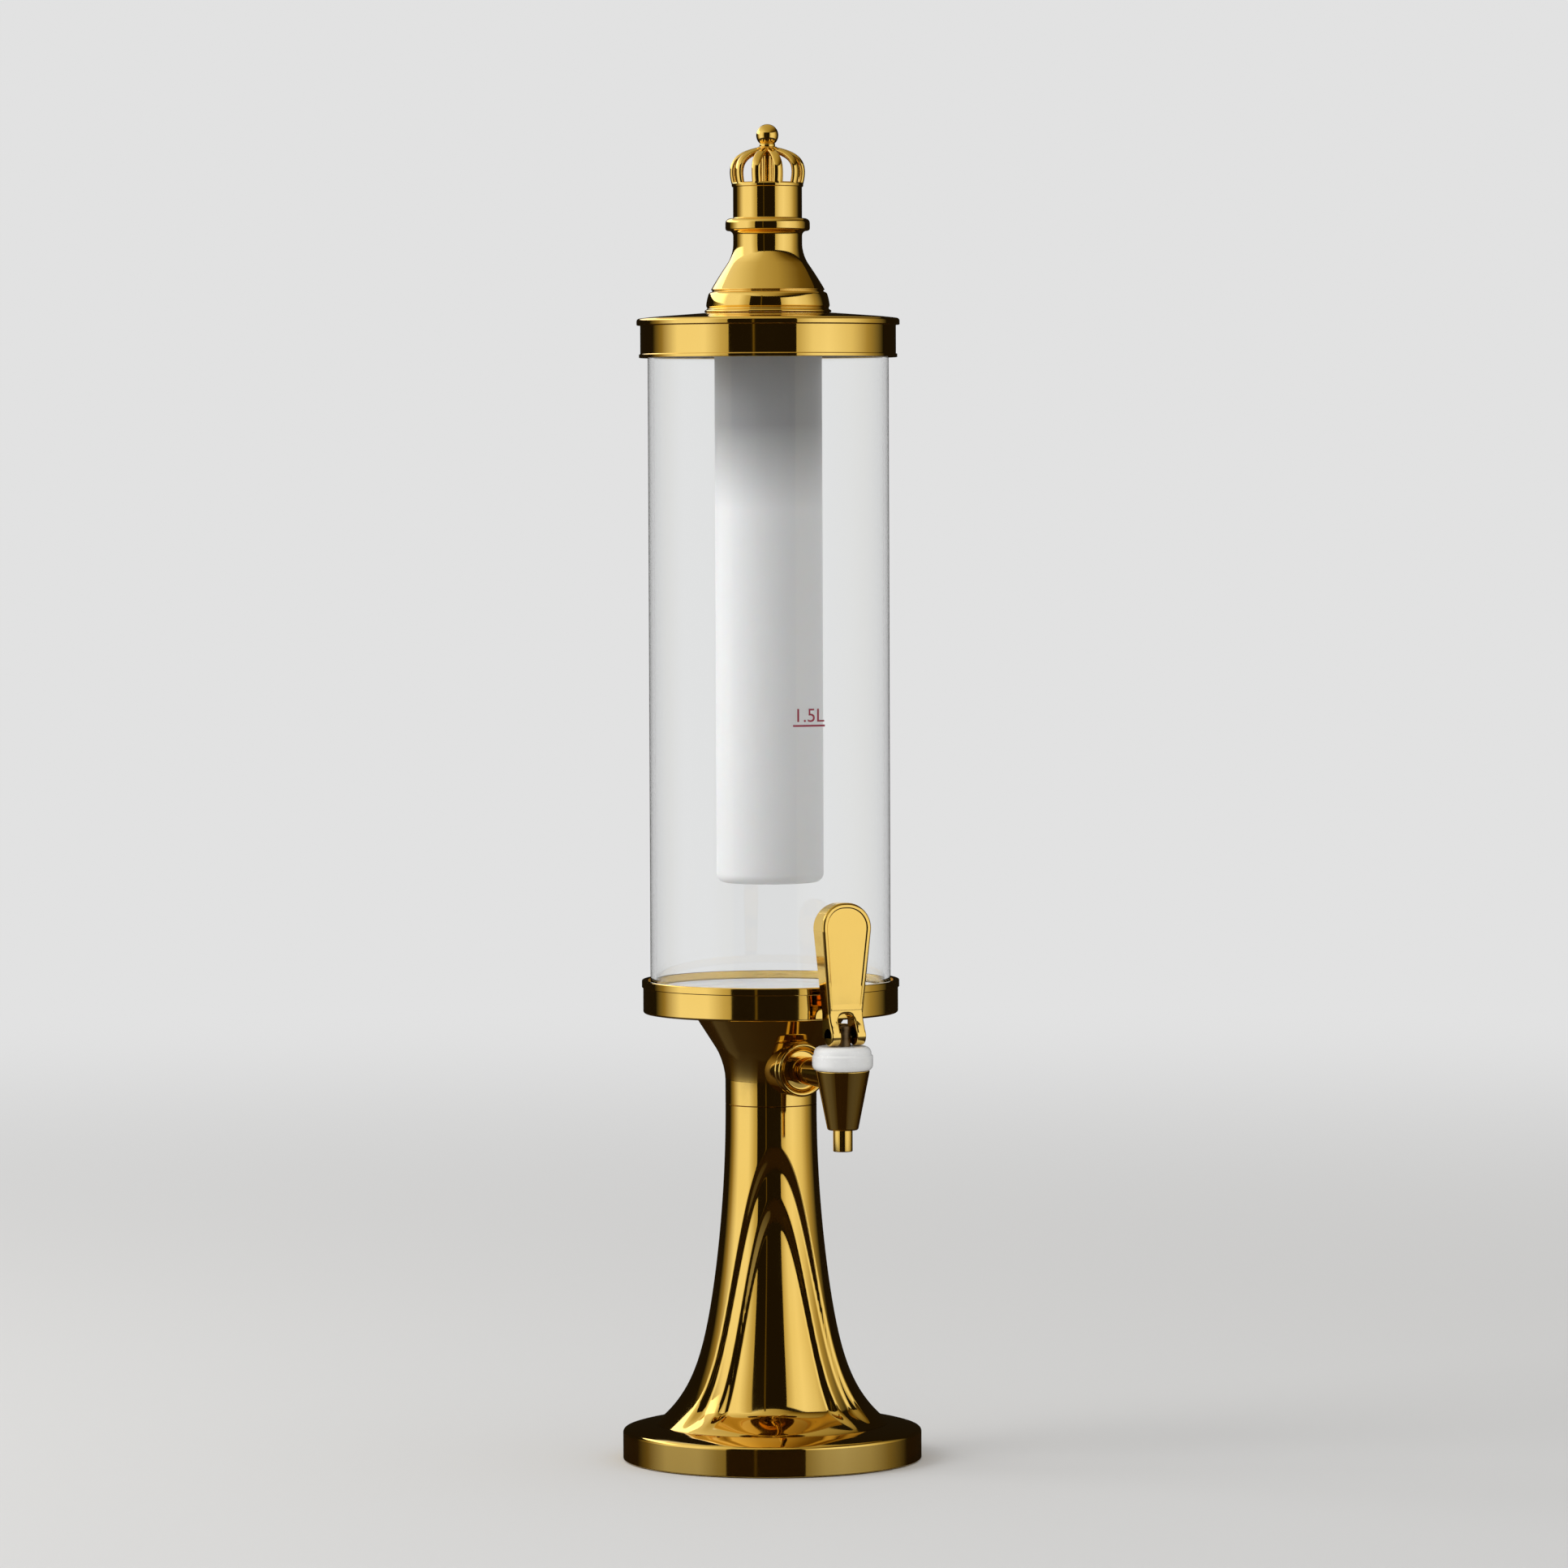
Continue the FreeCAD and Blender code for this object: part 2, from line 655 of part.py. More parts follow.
def make_neck():
    """Turned neck: a spigot into the stem, a straight collar, a flared mouth and the tap's boss."""
    neck = lathe("neck_turned", [
        ("tie_radius + fit_gap", NECK_WEB),
        (SPIGOT_RADIUS, NECK_WEB),
        (SPIGOT_RADIUS, SEAM),
        ("stem_top_radius", SEAM),
        ("stem_top_radius", CONE_LOW),
        ("mouth_radius", CUP_LOW),
        (f"{SCREW_RING} - 2 * neck_wall", CUP_LOW),
        (f"{SCREW_RING} - 2 * neck_wall", f"{CUP_LOW} - neck_wall"),
        (NECK_BORE, f"{CONE_LOW} + neck_wall"),
        (NECK_BORE, f"{SEAM} + neck_wall"),
        (f"{SPIGOT_RADIUS} - neck_wall", f"{SEAM} + neck_wall"),
        (f"{SPIGOT_RADIUS} - neck_wall", f"{NECK_WEB} + neck_floor"),
        ("tie_radius + fit_gap", f"{NECK_WEB} + neck_floor"),
    ])
    soften(neck, "stem_top_radius", CONE_LOW, "cone_blend")
    boss = rod("tap_boss", "boss_radius", f"boss_reach - {NECK_BORE}",
               ("0", f"0 - {NECK_BORE}", TAP_LEVEL), TO_FRONT)
    inner_pad = rod("tap_boss_pad", "boss_radius", f"boss_reach - boss_pad",
                    ("0", "0 - boss_pad", TAP_LEVEL), TO_FRONT)
    bore = rod("tap_boss_bore", "shank_radius + fit_gap", "boss_reach", ("0", "0", TAP_LEVEL), TO_FRONT)

    def hole(name, across, away):
        depth = "cup_screw_length - cup_floor + loose_gap"
        return rod(name, "cup_screw_radius + fit_gap", depth, (across, away, f"{CUP_LOW} - ({depth})"))

    holes = around("neck_screw_holes", "cup_screw_count", CUP_SCREW_CIRCLE, hole)
    solid = fuse("neck_solid", neck, boss, inner_pad)
    publish(cut("neck_cut", solid, group("neck_tools", bore, holes)), "neck")


# ---------------------------------------------------------------- cup, tube and its floor
CUP_BORE = "(tube_radius + gasket_thickness)"
CUP_RADIUS = f"({CUP_BORE} + cup_wall)"
TUBE_BORE = "(tube_radius - tube_wall)"
DRAIN_HOLE = "(drain_radius + fit_gap)"
CUP_SCREW_CIRCLE = f"({SCREW_RING} - neck_wall / 2)"
HEAD_SEAT = f"({FLOOR_TOP} - floor_step - floor_fall - drain_head_thickness)"
MARK_LEVEL = f"({TUBE_LOW} + mark_height)"


def make_cup():
    """Gold cup with a thin lip, and the countersunk screws that hold it on the neck's mouth."""
    cup = lathe("cup_turned", [
        (DRAIN_HOLE, CUP_LOW),
        (f"{CUP_RADIUS} - edge_break", CUP_LOW),
        (CUP_RADIUS, f"{CUP_LOW} + edge_break"),
        (CUP_RADIUS, f"{CUP_TOP} - cup_lip_height"),
        (f"{CUP_RADIUS} + cup_lip", f"{CUP_TOP} - cup_lip_height"),
        (f"{CUP_RADIUS} + cup_lip", CUP_TOP),
        (CUP_BORE, CUP_TOP),
        (CUP_BORE, CUP_SEAT),
        (DRAIN_HOLE, CUP_SEAT),
    ])
    head_height = "cup_screw_radius"

    def hole(name, across, away):
        return rod(name, "cup_screw_radius + fit_gap", "cup_floor", (across, away, CUP_LOW))

    def sink(name, across, away):
        return cone(name, "cup_screw_radius + fit_gap", "2 * cup_screw_radius + fit_gap", head_height,
                    (across, away, f"{CUP_SEAT} - {head_height}"))

    def screw(name, across, away):
        shank = rod(name + "_shank", "cup_screw_radius", f"cup_screw_length - {head_height}",
                    (across, away, f"{CUP_SEAT} - cup_screw_length"))
        head = cone(name + "_head", "cup_screw_radius", "2 * cup_screw_radius", head_height,
                    (across, away, f"{CUP_SEAT} - {head_height}"))
        return fuse(name, shank, head)

    holes = around("cup_holes", "cup_screw_count", CUP_SCREW_CIRCLE, hole)
    sinks = around("cup_sinks", "cup_screw_count", CUP_SCREW_CIRCLE, sink)
    publish(cut("cup_cut", cut("cup_bored", cup, holes), sinks), "cup")
    publish(around("cup_screw_set", "cup_screw_count", CUP_SCREW_CIRCLE, screw), "cup_screws")


def make_tube():
    """Clear tube on its L-section gasket, the sloped floor inside it and the printed level line."""
    publish(lathe("gasket_turned", [
        (TUBE_BORE, CUP_SEAT),
        (CUP_BORE, CUP_SEAT),
        (CUP_BORE, f"{CUP_SEAT} + gasket_height"),
        ("tube_radius + fit_gap", f"{CUP_SEAT} + gasket_height"),
        ("tube_radius + fit_gap", TUBE_LOW),
        (TUBE_BORE, TUBE_LOW),
    ]), "tube_gasket")
    publish(ring("tube_turned", TUBE_BORE, "tube_radius", TUBE_LOW, TUBE_TOP), "beer_tube")
    rim = f"({TUBE_BORE} - part_gap)"
    dish = f"({FLOOR_TOP} - floor_step)"
    collar = "(drain_head_radius + fit_gap)"
    publish(lathe("floor_turned", [
        (DRAIN_HOLE, CUP_SEAT),
        (f"{collar} + floor_wall", CUP_SEAT),
        (f"{collar} + floor_wall", f"{dish} - floor_fall - floor_plate"),
        (f"{rim} - floor_wall", f"{dish} - floor_plate"),
        (f"{rim} - floor_wall", CUP_SEAT),
        (rim, CUP_SEAT),
        (rim, FLOOR_TOP),
        (f"{rim} - floor_wall", FLOOR_TOP),
        (f"{rim} - 2 * floor_wall", dish),
        (collar, f"{dish} - floor_fall"),
        (collar, HEAD_SEAT),
        (DRAIN_HOLE, HEAD_SEAT),
    ]), "tube_floor")
    line = lathe("mark_turned", [
        ("tube_radius", MARK_LEVEL),
        ("tube_radius + mark_film", MARK_LEVEL),
        ("tube_radius + mark_film", f"{MARK_LEVEL} + mark_line"),
        ("tube_radius", f"{MARK_LEVEL} + mark_line"),
    ], sweep=f"mark_width / tube_radius * {math.degrees(1):.7f}")
    line.Placement = FreeCAD.Placement(FreeCAD.Vector(), -Z_AXIS, 90 + value("mark_angle"))
    bind(line, "Placement.Rotation.Angle", "90 + mark_angle")
    publish(line, "level_mark")


# ---------------------------------------------------------------- drain and outlet
DRAIN_WASHER_LOW = f"({CUP_LOW} - drain_washer_thickness)"
DRAIN_NUT_LOW = f"({DRAIN_WASHER_LOW} - drain_nut_height)"
HOSE_TOP = f"({DRAIN_NUT_LOW} - part_gap)"
DRAIN_LOW = f"({HOSE_TOP} - drain_tail)"
NUT_FACE = "(boss_pad - shank_nut_height)"


def make_drain():
    """Flanged drain fitting with its washer and nut, and the moulded elbow down to the tap."""
    publish(lathe("drain_turned", [
        ("drain_bore", DRAIN_LOW),
        ("drain_radius", DRAIN_LOW),
        ("drain_radius", HEAD_SEAT),
        ("drain_head_radius", HEAD_SEAT),
        ("drain_head_radius", f"{HEAD_SEAT} + drain_head_thickness"),
        ("drain_bore", f"{HEAD_SEAT} + drain_head_thickness"),
    ]), "drain_fitting")
    publish(ring("drain_washer_turned", DRAIN_HOLE, "drain_nut_flats / 2 + drain_washer_thickness",
                 DRAIN_WASHER_LOW, CUP_LOW), "drain_washer")
    publish(hex_nut("drain_nut_cut", "drain_nut_flats", "drain_nut_height", DRAIN_HOLE,
                    ("0", "0", DRAIN_NUT_LOW)), "drain_nut")

    def bend(name, radius, past):
        down = rod(name + "_down", radius, f"{HOSE_TOP} - {TAP_LEVEL} + {past}", ("0", "0", TAP_LEVEL))
        across = rod(name + "_across", radius, f"{NUT_FACE} - part_gap + {past}",
                     ("0", "0", TAP_LEVEL), TO_FRONT)
        knee = doc.addObject("Part::Sphere", name + "_knee")
        bind(knee, "Radius", radius)
        place(knee, ("0", "0", TAP_LEVEL))
        return fuse(name, down, across, knee)

    elbow = cut("elbow_cut", bend("elbow_outside", f"{DRAIN_HOLE} + hose_wall", "0"),
                bend("elbow_inside", DRAIN_HOLE, "1"))
    publish(elbow, "outlet_elbow")


# ---------------------------------------------------------------- lid and ice tube
LID_BORE = "(tube_radius + part_gap + lid_gasket_thickness)"
LID_RADIUS = f"({LID_BORE} + lid_wall)"
ICE_HOLE = "(ice_radius + fit_gap)"
ICE_FLANGE = "(ice_radius + ice_flange_over)"
ICE_LOW = f"({ICE_TOP} - ice_length)"
ICE_BORE = "(ice_radius - ice_wall)"


def make_lid():
    """Skirted lid with a flange and a low dome, and its L-section gasket over the tube's edge."""
    publish(lathe("lid_turned", [
        (LID_BORE, LID_LOW),
        (f"{LID_RADIUS} + lid_lip", LID_LOW),
        (f"{LID_RADIUS} + lid_lip", f"{LID_LOW} + lid_lip_height"),
        (LID_RADIUS, f"{LID_LOW} + lid_lip_height"),
        (LID_RADIUS, f"{LID_SHOULDER} - lid_flange"),
        (f"{LID_RADIUS} + lid_flange_over", f"{LID_SHOULDER} - lid_flange"),
        *quarter(f"{LID_RADIUS} + lid_flange_over", LID_SHOULDER, "edge_break", (0, -1), (-1, 0)),
        ("finial_foot_radius + edge_break", LID_TOP),
        (f"{ICE_FLANGE} + fit_gap", LID_TOP),
        (f"{ICE_FLANGE} + fit_gap", ICE_SEAT),
        (ICE_HOLE, ICE_SEAT),
        (ICE_HOLE, LID_CEILING),
        (LID_BORE, LID_CEILING),
    ]), "lid")
    publish(lathe("lid_gasket_turned", [
        (TUBE_BORE, f"{TUBE_TOP} + part_gap"),
        ("tube_radius + part_gap", f"{TUBE_TOP} + part_gap"),
        ("tube_radius + part_gap", f"{TUBE_TOP} - lid_gasket_depth"),
        (LID_BORE, f"{TUBE_TOP} - lid_gasket_depth"),
        (LID_BORE, LID_CEILING),
        (TUBE_BORE, LID_CEILING),
    ]), "lid_gasket")


def make_ice_tube():
    """Closed-ended frosted tube that hangs by its flange in the lid, locked by a ring nut."""
    inner_round = "(ice_rounding - ice_wall)"
    publish(lathe("ice_turned", [
        ("0", ICE_LOW),
        *quarter("ice_radius", ICE_LOW, "ice_rounding", (-1, 0), (0, 1)),
        ("ice_radius", ICE_SEAT),
        (ICE_FLANGE, ICE_SEAT),
        (ICE_FLANGE, ICE_TOP),
        (ICE_BORE, ICE_TOP),
        *quarter(ICE_BORE, f"{ICE_LOW} + ice_wall", inner_round, (0, 1), (-1, 0)),
        ("0", f"{ICE_LOW} + ice_wall"),
    ]), "ice_tube")
    publish(ring("ice_nut_turned", ICE_HOLE, f"{ICE_HOLE} + ring_nut_wall",
                 f"{LID_CEILING} - ring_nut_height", LID_CEILING), "ice_tube_nut")


# ---------------------------------------------------------------- finial
FINIAL_BORE = "(bell_radius - finial_foot_wall - edge_break)"
COLUMN_BORE = "(column_radius - finial_wall)"
STOPPER_RADIUS = f"({ICE_BORE} - loose_gap)"
STOPPER_BORE = f"({STOPPER_RADIUS} - stopper_wall)"
STOPPER_LOW = f"({FINIAL_LOW} - stopper_depth)"
SPIGOT_TOP = f"({FINIAL_LOW} + stopper_spigot)"
POST_RADIUS = "(2 * finial_screw_radius)"
SCREW_HOLE = "(finial_screw_radius + fit_gap)"
SEAL_GROOVE_LOW = f"({STOPPER_LOW} + stopper_seal_height)"
SCREW_TOP = f"({STOPPER_LOW} + finial_screw_length)"


def make_finial():
    """Turned finial: foot, step ring, bell, bead and column, with a post inside for its screw."""
    finial = lathe("finial_turned", [
        (FINIAL_BORE, FINIAL_LOW),
        ("finial_foot_radius", FINIAL_LOW),
        ("finial_foot_radius", f"{FINIAL_LOW} + edge_break"),
        ("finial_step_radius + finial_step_spread", STEP_LOW),
        ("finial_step_radius", f"{STEP_TOP} - edge_break"),
        ("finial_step_radius - edge_break", STEP_TOP),
        ("bell_radius - edge_break", STEP_TOP),
        ("bell_radius - edge_break", BELL_LOW),
        ("bell_radius", BELL_LOW),
        ("column_radius", BELL_TOP),
        *quarter("column_radius", f"{BEAD_LOW} + bead_cove", "bead_cove", (0, -1), (1, 0)),
        *quarter("bead_radius", f"{BEAD_LOW} + bead_cove", "bead_nose", (-1, 0), (0, 1)),
        *quarter("bead_radius", BEAD_TOP, "bead_nose", (0, -1), (-1, 0)),
        ("column_radius", BEAD_TOP),
        ("column_radius", COLUMN_TOP),
        (SCREW_HOLE, COLUMN_TOP),
        (SCREW_HOLE, SPIGOT_TOP),
        (POST_RADIUS, SPIGOT_TOP),
        (POST_RADIUS, f"{COLUMN_TOP} - finial_wall"),
        (COLUMN_BORE, f"{COLUMN_TOP} - finial_wall"),
        (COLUMN_BORE, BELL_TOP),
        (FINIAL_BORE, STEP_TOP),
    ])
    soften(finial, "column_radius", BELL_TOP, "bell_blend")
    publish(finial, "finial")
    publish(lathe("stopper_turned", [
        (SCREW_HOLE, STOPPER_LOW),
        (STOPPER_RADIUS, STOPPER_LOW),
        (STOPPER_RADIUS, SEAL_GROOVE_LOW),
        (f"{STOPPER_RADIUS} - stopper_seal_depth", SEAL_GROOVE_LOW),
        (f"{STOPPER_RADIUS} - stopper_seal_depth", f"{SEAL_GROOVE_LOW} + stopper_seal_height"),
        (STOPPER_RADIUS, f"{SEAL_GROOVE_LOW} + stopper_seal_height"),
        (STOPPER_RADIUS, FINIAL_LOW),
        (f"{FINIAL_BORE} - fit_gap", FINIAL_LOW),
        (f"{FINIAL_BORE} - fit_gap", SPIGOT_TOP),
        (f"{STOPPER_BORE} - edge_break", SPIGOT_TOP),
        (f"{STOPPER_BORE} - edge_break", f"{STOPPER_LOW} + stopper_wall"),
        (POST_RADIUS, f"{STOPPER_LOW} + stopper_wall"),
        (POST_RADIUS, SPIGOT_TOP),
        (SCREW_HOLE, SPIGOT_TOP),
    ]), "finial_stopper")
    publish(ring("stopper_seal_turned", f"{STOPPER_RADIUS} - stopper_seal_depth", f"{ICE_BORE} - part_gap",
                 SEAL_GROOVE_LOW, f"{SEAL_GROOVE_LOW} + stopper_seal_height"), "stopper_seal")
    head = rod("finial_screw_head", POST_RADIUS, "finial_screw_radius",
               ("0", "0", f"{STOPPER_LOW} - finial_screw_radius"))
    shank = rod("finial_screw_shank", "finial_screw_radius", "finial_screw_length", ("0", "0", STOPPER_LOW))
    publish(fuse("finial_screw_whole", head, shank), "finial_screw")


def make_crown():
    """Open crown: a band, bulging straps that meet in a hub, and a ball on a post through the hub."""
    band = ring("crown_band", "column_radius - finial_wall", "crown_band_radius", COLUMN_TOP, CROWN_BASE)
    hub_radius = "(post_radius + fit_gap + crown_hub_wall)"
    hub_top = f"({CROWN_TOP} + crown_strap / 2)"
    hub = ring("crown_hub", "post_radius + fit_gap", hub_radius, f"{CROWN_TOP} - 2 * crown_strap", hub_top)
    foot = f"({CROWN_BASE} - edge_break)"
    bulge = f"({CROWN_BASE} + crown_bulge_height)"
    shoulder = f"({CROWN_TOP} - crown_shoulder_drop)"
    roof = f"({CROWN_TOP} - crown_roof_drop)"
    middle = "(post_radius + fit_gap + crown_hub_wall / 2)"
    count = int(value("crown_strap_count"))
    straps = []
    for number in range(count):
        strap = prism(f"crown_strap_{number + 1}", "XZ_Plane", [
            ("crown_band_radius - crown_strap", foot),
            ("crown_band_radius", foot),
            ("via", "crown_bulge", bulge),
            ("crown_shoulder_radius", shoulder),
            ("via", "crown_roof_radius", roof),
            (middle, CROWN_TOP),
            (middle, f"{CROWN_TOP} - crown_strap"),
            ("via", "crown_roof_radius - crown_strap / 2", f"{roof} - crown_strap"),
            ("crown_shoulder_radius - crown_strap", f"{shoulder} - crown_strap / 2"),
            ("via", "crown_bulge - crown_strap", bulge),
        ], "crown_strap_width")
        turn = value("crown_turn") - 90 + 360 * number / count
        strap.Placement = FreeCAD.Placement(FreeCAD.Vector(), FreeCAD.Rotation(Z_AXIS, turn))
        straps.append(strap)
    publish(fuse("crown_whole", band, hub, *straps), "crown")
    ball = doc.addObject("Part::Sphere", "crown_ball_round")
    bind(ball, "Radius", "ball_radius")
    centre = f"({hub_top} + ball_radius)"
    place(ball, ("0", "0", centre))
    post = rod("crown_post", "post_radius", f"{centre} - {COLUMN_TOP}", ("0", "0", COLUMN_TOP))
    publish(fuse("crown_ball_whole", ball, post), "crown_ball")


# ---------------------------------------------------------------- tap
TAP_Y = "0 - tap_reach"
TAP_FACE = "(boss_reach + collar_ring_thickness)"


def make_tap():
    """Tap casting on its threaded shank, with collar ring, washer, nut, spout tip and bonnet."""
    publish(place(lathe("collar_turned", [
        ("shank_radius + fit_gap", "0"),
        ("boss_radius", "0"),
        *quarter("boss_radius", "collar_ring_thickness + collar_rim", "collar_rim", (0, -1), (-1, 0)),
        ("shank_tube_radius + edge_break", "collar_ring_thickness"),
        ("shank_radius + fit_gap", "collar_ring_thickness"),
    ]), ("0", "0 - boss_reach", TAP_LEVEL), TO_FRONT), "tap_collar")

    cone_body = place(lathe("tap_cone", [
        ("0", TAP_LOW),
        ("tap_bottom_radius", TAP_LOW),
        ("tap_top_radius", BONNET_LOW),
        ("spigot_radius", BONNET_LOW),
        ("spigot_radius", f"{BONNET_LOW} + spigot_rise"),
        ("0", f"{BONNET_LOW} + spigot_rise"),
    ]), ("0", TAP_Y, "0"))
    tube = rod("shank_tube", "shank_tube_radius", f"tap_reach - {TAP_FACE}",
               ("0", f"0 - {TAP_FACE}", TAP_LEVEL), TO_FRONT)
    thread = rod("shank_thread", "shank_radius", f"{TAP_FACE} - {NUT_FACE}",
                 ("0", f"0 - {NUT_FACE}", TAP_LEVEL), TO_FRONT)
    tail = rod("shank_tail", "drain_radius", f"{NUT_FACE} - tail_gap",
               ("0", "0 - tail_gap", TAP_LEVEL), TO_FRONT)
    spot_face = place(ring("spot_face", "spigot_radius", "bonnet_radius + loose_gap", BONNET_LOW,
                           f"{BONNET_TOP}"), ("0", TAP_Y, "0"))
    channels = group(
        "tap_channels",
        place(lathe("tap_bore", [
            ("0", f"{TAP_LOW} - 1"),
            ("tip_radius + fit_gap", f"{TAP_LOW} - 1"),
            ("tip_radius + fit_gap", f"{TAP_LOW} + tip_socket"),
            ("outlet_radius", f"{TAP_LOW} + tip_socket"),
            ("outlet_radius", VALVE_SEAT),
            ("chamber_radius", VALVE_SEAT),
            ("chamber_radius", f"{BONNET_TOP}"),
            ("0", f"{BONNET_TOP}"),
        ]), ("0", TAP_Y, "0")),
        spot_face,
    )
    bore = rod("shank_bore_cut", "shank_bore", "tap_reach", ("0", "0", TAP_LEVEL), TO_FRONT)
    casting = fuse("tap_casting", cone_body, tube, thread, tail)
    publish(cut("tap_cut", cut("tap_hollow", casting, channels), bore), "tap_body")

    publish(place(ring("tip_turned", "outlet_radius", "tip_radius", f"{TAP_LOW} - tip_length",
                       f"{TAP_LOW} + tip_socket"), ("0", TAP_Y, "0")), "spout_tip")
    publish(hex_nut("shank_nut_cut", "shank_nut_flats", "shank_nut_height - shank_washer_thickness",
                    "shank_radius + fit_gap", ("0", f"0 - {NUT_FACE}", TAP_LEVEL), TO_FRONT), "shank_nut")
    publish(place(ring("shank_washer_turned", "shank_radius + fit_gap", "shank_nut_flats / 2", "0",
                       "shank_washer_thickness"),
                  ("0", "shank_washer_thickness - boss_pad", TAP_LEVEL), TO_FRONT), "shank_washer")
    publish(place(lathe("bonnet_turned", [
        ("spigot_radius + fit_gap", BONNET_LOW),
        *quarter("bonnet_radius", BONNET_LOW, "bonnet_rounding", (-1, 0), (0, 1)),
        *quarter("bonnet_radius", BONNET_TOP, "bonnet_rounding", (0, -1), (-1, 0)),
        ("plunger_radius + part_gap", BONNET_TOP),
        ("plunger_radius + part_gap", f"{BONNET_LOW} + spigot_rise + part_gap"),
        ("spigot_radius + fit_gap", f"{BONNET_LOW} + spigot_rise + part_gap"),
    ]), ("0", TAP_Y, "0")), "bonnet")


# ---------------------------------------------------------------- valve and handle
BELLOWS_LOW = f"({FLANGE_TOP} + part_gap)"
BELLOWS_TOP = f"({BONNET_LOW} + spigot_rise)"
HEAD_TOP = f"({PIN_LEVEL} + plunger_head_rise)"


def make_valve():
    """Plunger with its seal, the silicone bellows that springs it shut, and the handle's pin."""
    plunger = place(lathe("plunger_turned", [
        ("0", f"{SEAL_LOW} + loose_gap"),
        ("plunger_rod_radius", f"{SEAL_LOW} + loose_gap"),
        ("plunger_rod_radius", SEAL_TOP),
        ("valve_flange_radius", SEAL_TOP),
        ("valve_flange_radius", FLANGE_TOP),
        ("plunger_radius", FLANGE_TOP),
        *quarter("plunger_radius", HEAD_TOP, "plunger_radius / 2", (0, -1), (-1, 0)),
        ("0", HEAD_TOP),
    ]), ("0", TAP_Y, "0"))
    hole = rod("plunger_pin_hole", "pin_radius", "4 * plunger_radius",
               ("0 - 2 * plunger_radius", TAP_Y, PIN_LEVEL), TO_SIDE)
    publish(cut("plunger_cut", plunger, hole), "plunger")
    publish(place(ring("valve_seal_turned", "plunger_rod_radius", "valve_seal_radius", SEAL_LOW, SEAL_TOP),
                  ("0", TAP_Y, "0")), "valve_seal")
    publish(rod("pin_shaft", "pin_radius", "handle_waist", ("0 - handle_waist / 2", TAP_Y, PIN_LEVEL), TO_SIDE),
            "pivot_pin")

    folds = 2 * int(value("bellows_folds"))
    levels = [f"{BELLOWS_LOW} + ({BELLOWS_TOP} - {BELLOWS_LOW}) * {number / folds:.7f}"
              for number in range(folds + 1)]
    radii = ["bellows_inner_radius" if number % 2 else "bellows_outer_radius" for number in range(folds + 1)]
    outside = [(f"{radius} + bellows_wall", level) for radius, level in zip(radii, levels)]
    inside = list(reversed(list(zip(radii, levels))))
    publish(place(lathe("bellows_turned", outside + inside), ("0", TAP_Y, "0")), "valve_bellows")


def make_handle():
    """Flat paddle on a fork: the legs' round heels ride on the bonnet and lift the plunger."""
    half = "handle_width / 2"
    waist = "handle_waist / 2"
    waist_level = f"({PIN_LEVEL} - cam_radius + slot_height)"
    heel = f"({PIN_LEVEL} - cam_radius)"
    left_half = f"0 - {half}"
    left_waist = f"0 - {waist}"
    face = prism("handle_face", "XZ_Plane", [
        (waist, heel),
        (waist, waist_level),
        (half, f"{HANDLE_TOP} - {half}"),
        ("via", "0", HANDLE_TOP),
        (left_half, f"{HANDLE_TOP} - {half}"),
        (left_waist, waist_level),
        (left_waist, heel),
    ], "2 * handle_thickness")
    thick = "handle_thickness / 2"
    thin = "fork_thickness / 2"

    def side(name, inset):
        """Side view of the paddle, drawn with -Y as its left."""
        return prism(name, "YZ_Plane", [
            ("cam_radius - cam_offset", PIN_LEVEL),
            (f"{thin} - {inset}", f"{PIN_LEVEL} + cam_radius / 2"),
            (f"{thin} - {inset}", waist_level),
            (f"{thick} - {inset}", f"{HANDLE_TOP} - {half}"),
            (f"{thick} - {inset} - handle_rounding", HANDLE_TOP),
            (f"0 - ({thick} - {inset} - handle_rounding)", HANDLE_TOP),
            (f"0 - ({thick} - {inset})", f"{HANDLE_TOP} - {half}"),
            (f"0 - ({thin} - {inset})", waist_level),
            (f"0 - ({thin} - {inset})", f"{PIN_LEVEL} + cam_radius"),
            ("0 - cam_offset - cam_radius", PIN_LEVEL),
        ], "2 * handle_width")

    cam = rod("handle_cam", "cam_radius", "2 * handle_width", ("0 - handle_width", "0 - cam_offset", PIN_LEVEL),
              TO_SIDE)
    blank = common("handle_blank", face, fuse("handle_side", side("handle_profile", "0"), cam))
    panel_low = f"({waist_level} + panel_margin)"
    panel = prism("handle_panel", "XZ_Plane", [
        (f"{waist} - panel_margin", panel_low),
        (f"{half} - panel_margin", f"{HANDLE_TOP} - {half}"),
        ("via", "0", f"{HANDLE_TOP} - panel_margin"),
        (f"0 - ({half} - panel_margin)", f"{HANDLE_TOP} - {half}"),
        (f"0 - ({waist} - panel_margin)", panel_low),
    ], "2 * handle_thickness")
    recess = cut("handle_recess", panel, side("handle_core", "panel_depth"))
    slot_half = "(handle_waist / 2 - fork_leg)"
    slot = prism("handle_slot", "XZ_Plane", [
        (slot_half, f"{heel} - cam_radius"),
        (slot_half, f"{waist_level} - {slot_half} / 2"),
        ("via", "0", waist_level),
        (f"0 - {slot_half}", f"{waist_level} - {slot_half} / 2"),
        (f"0 - {slot_half}", f"{heel} - cam_radius"),
    ], "4 * handle_thickness")
    hole = rod("handle_pin_hole", "pin_radius + fit_gap", "2 * handle_width", ("0 - handle_width", "0", PIN_LEVEL),
               TO_SIDE)
    publish(place(cut("handle_cut", blank, group("handle_tools", recess, slot, hole)), ("0", TAP_Y, "0")),
            "handle")


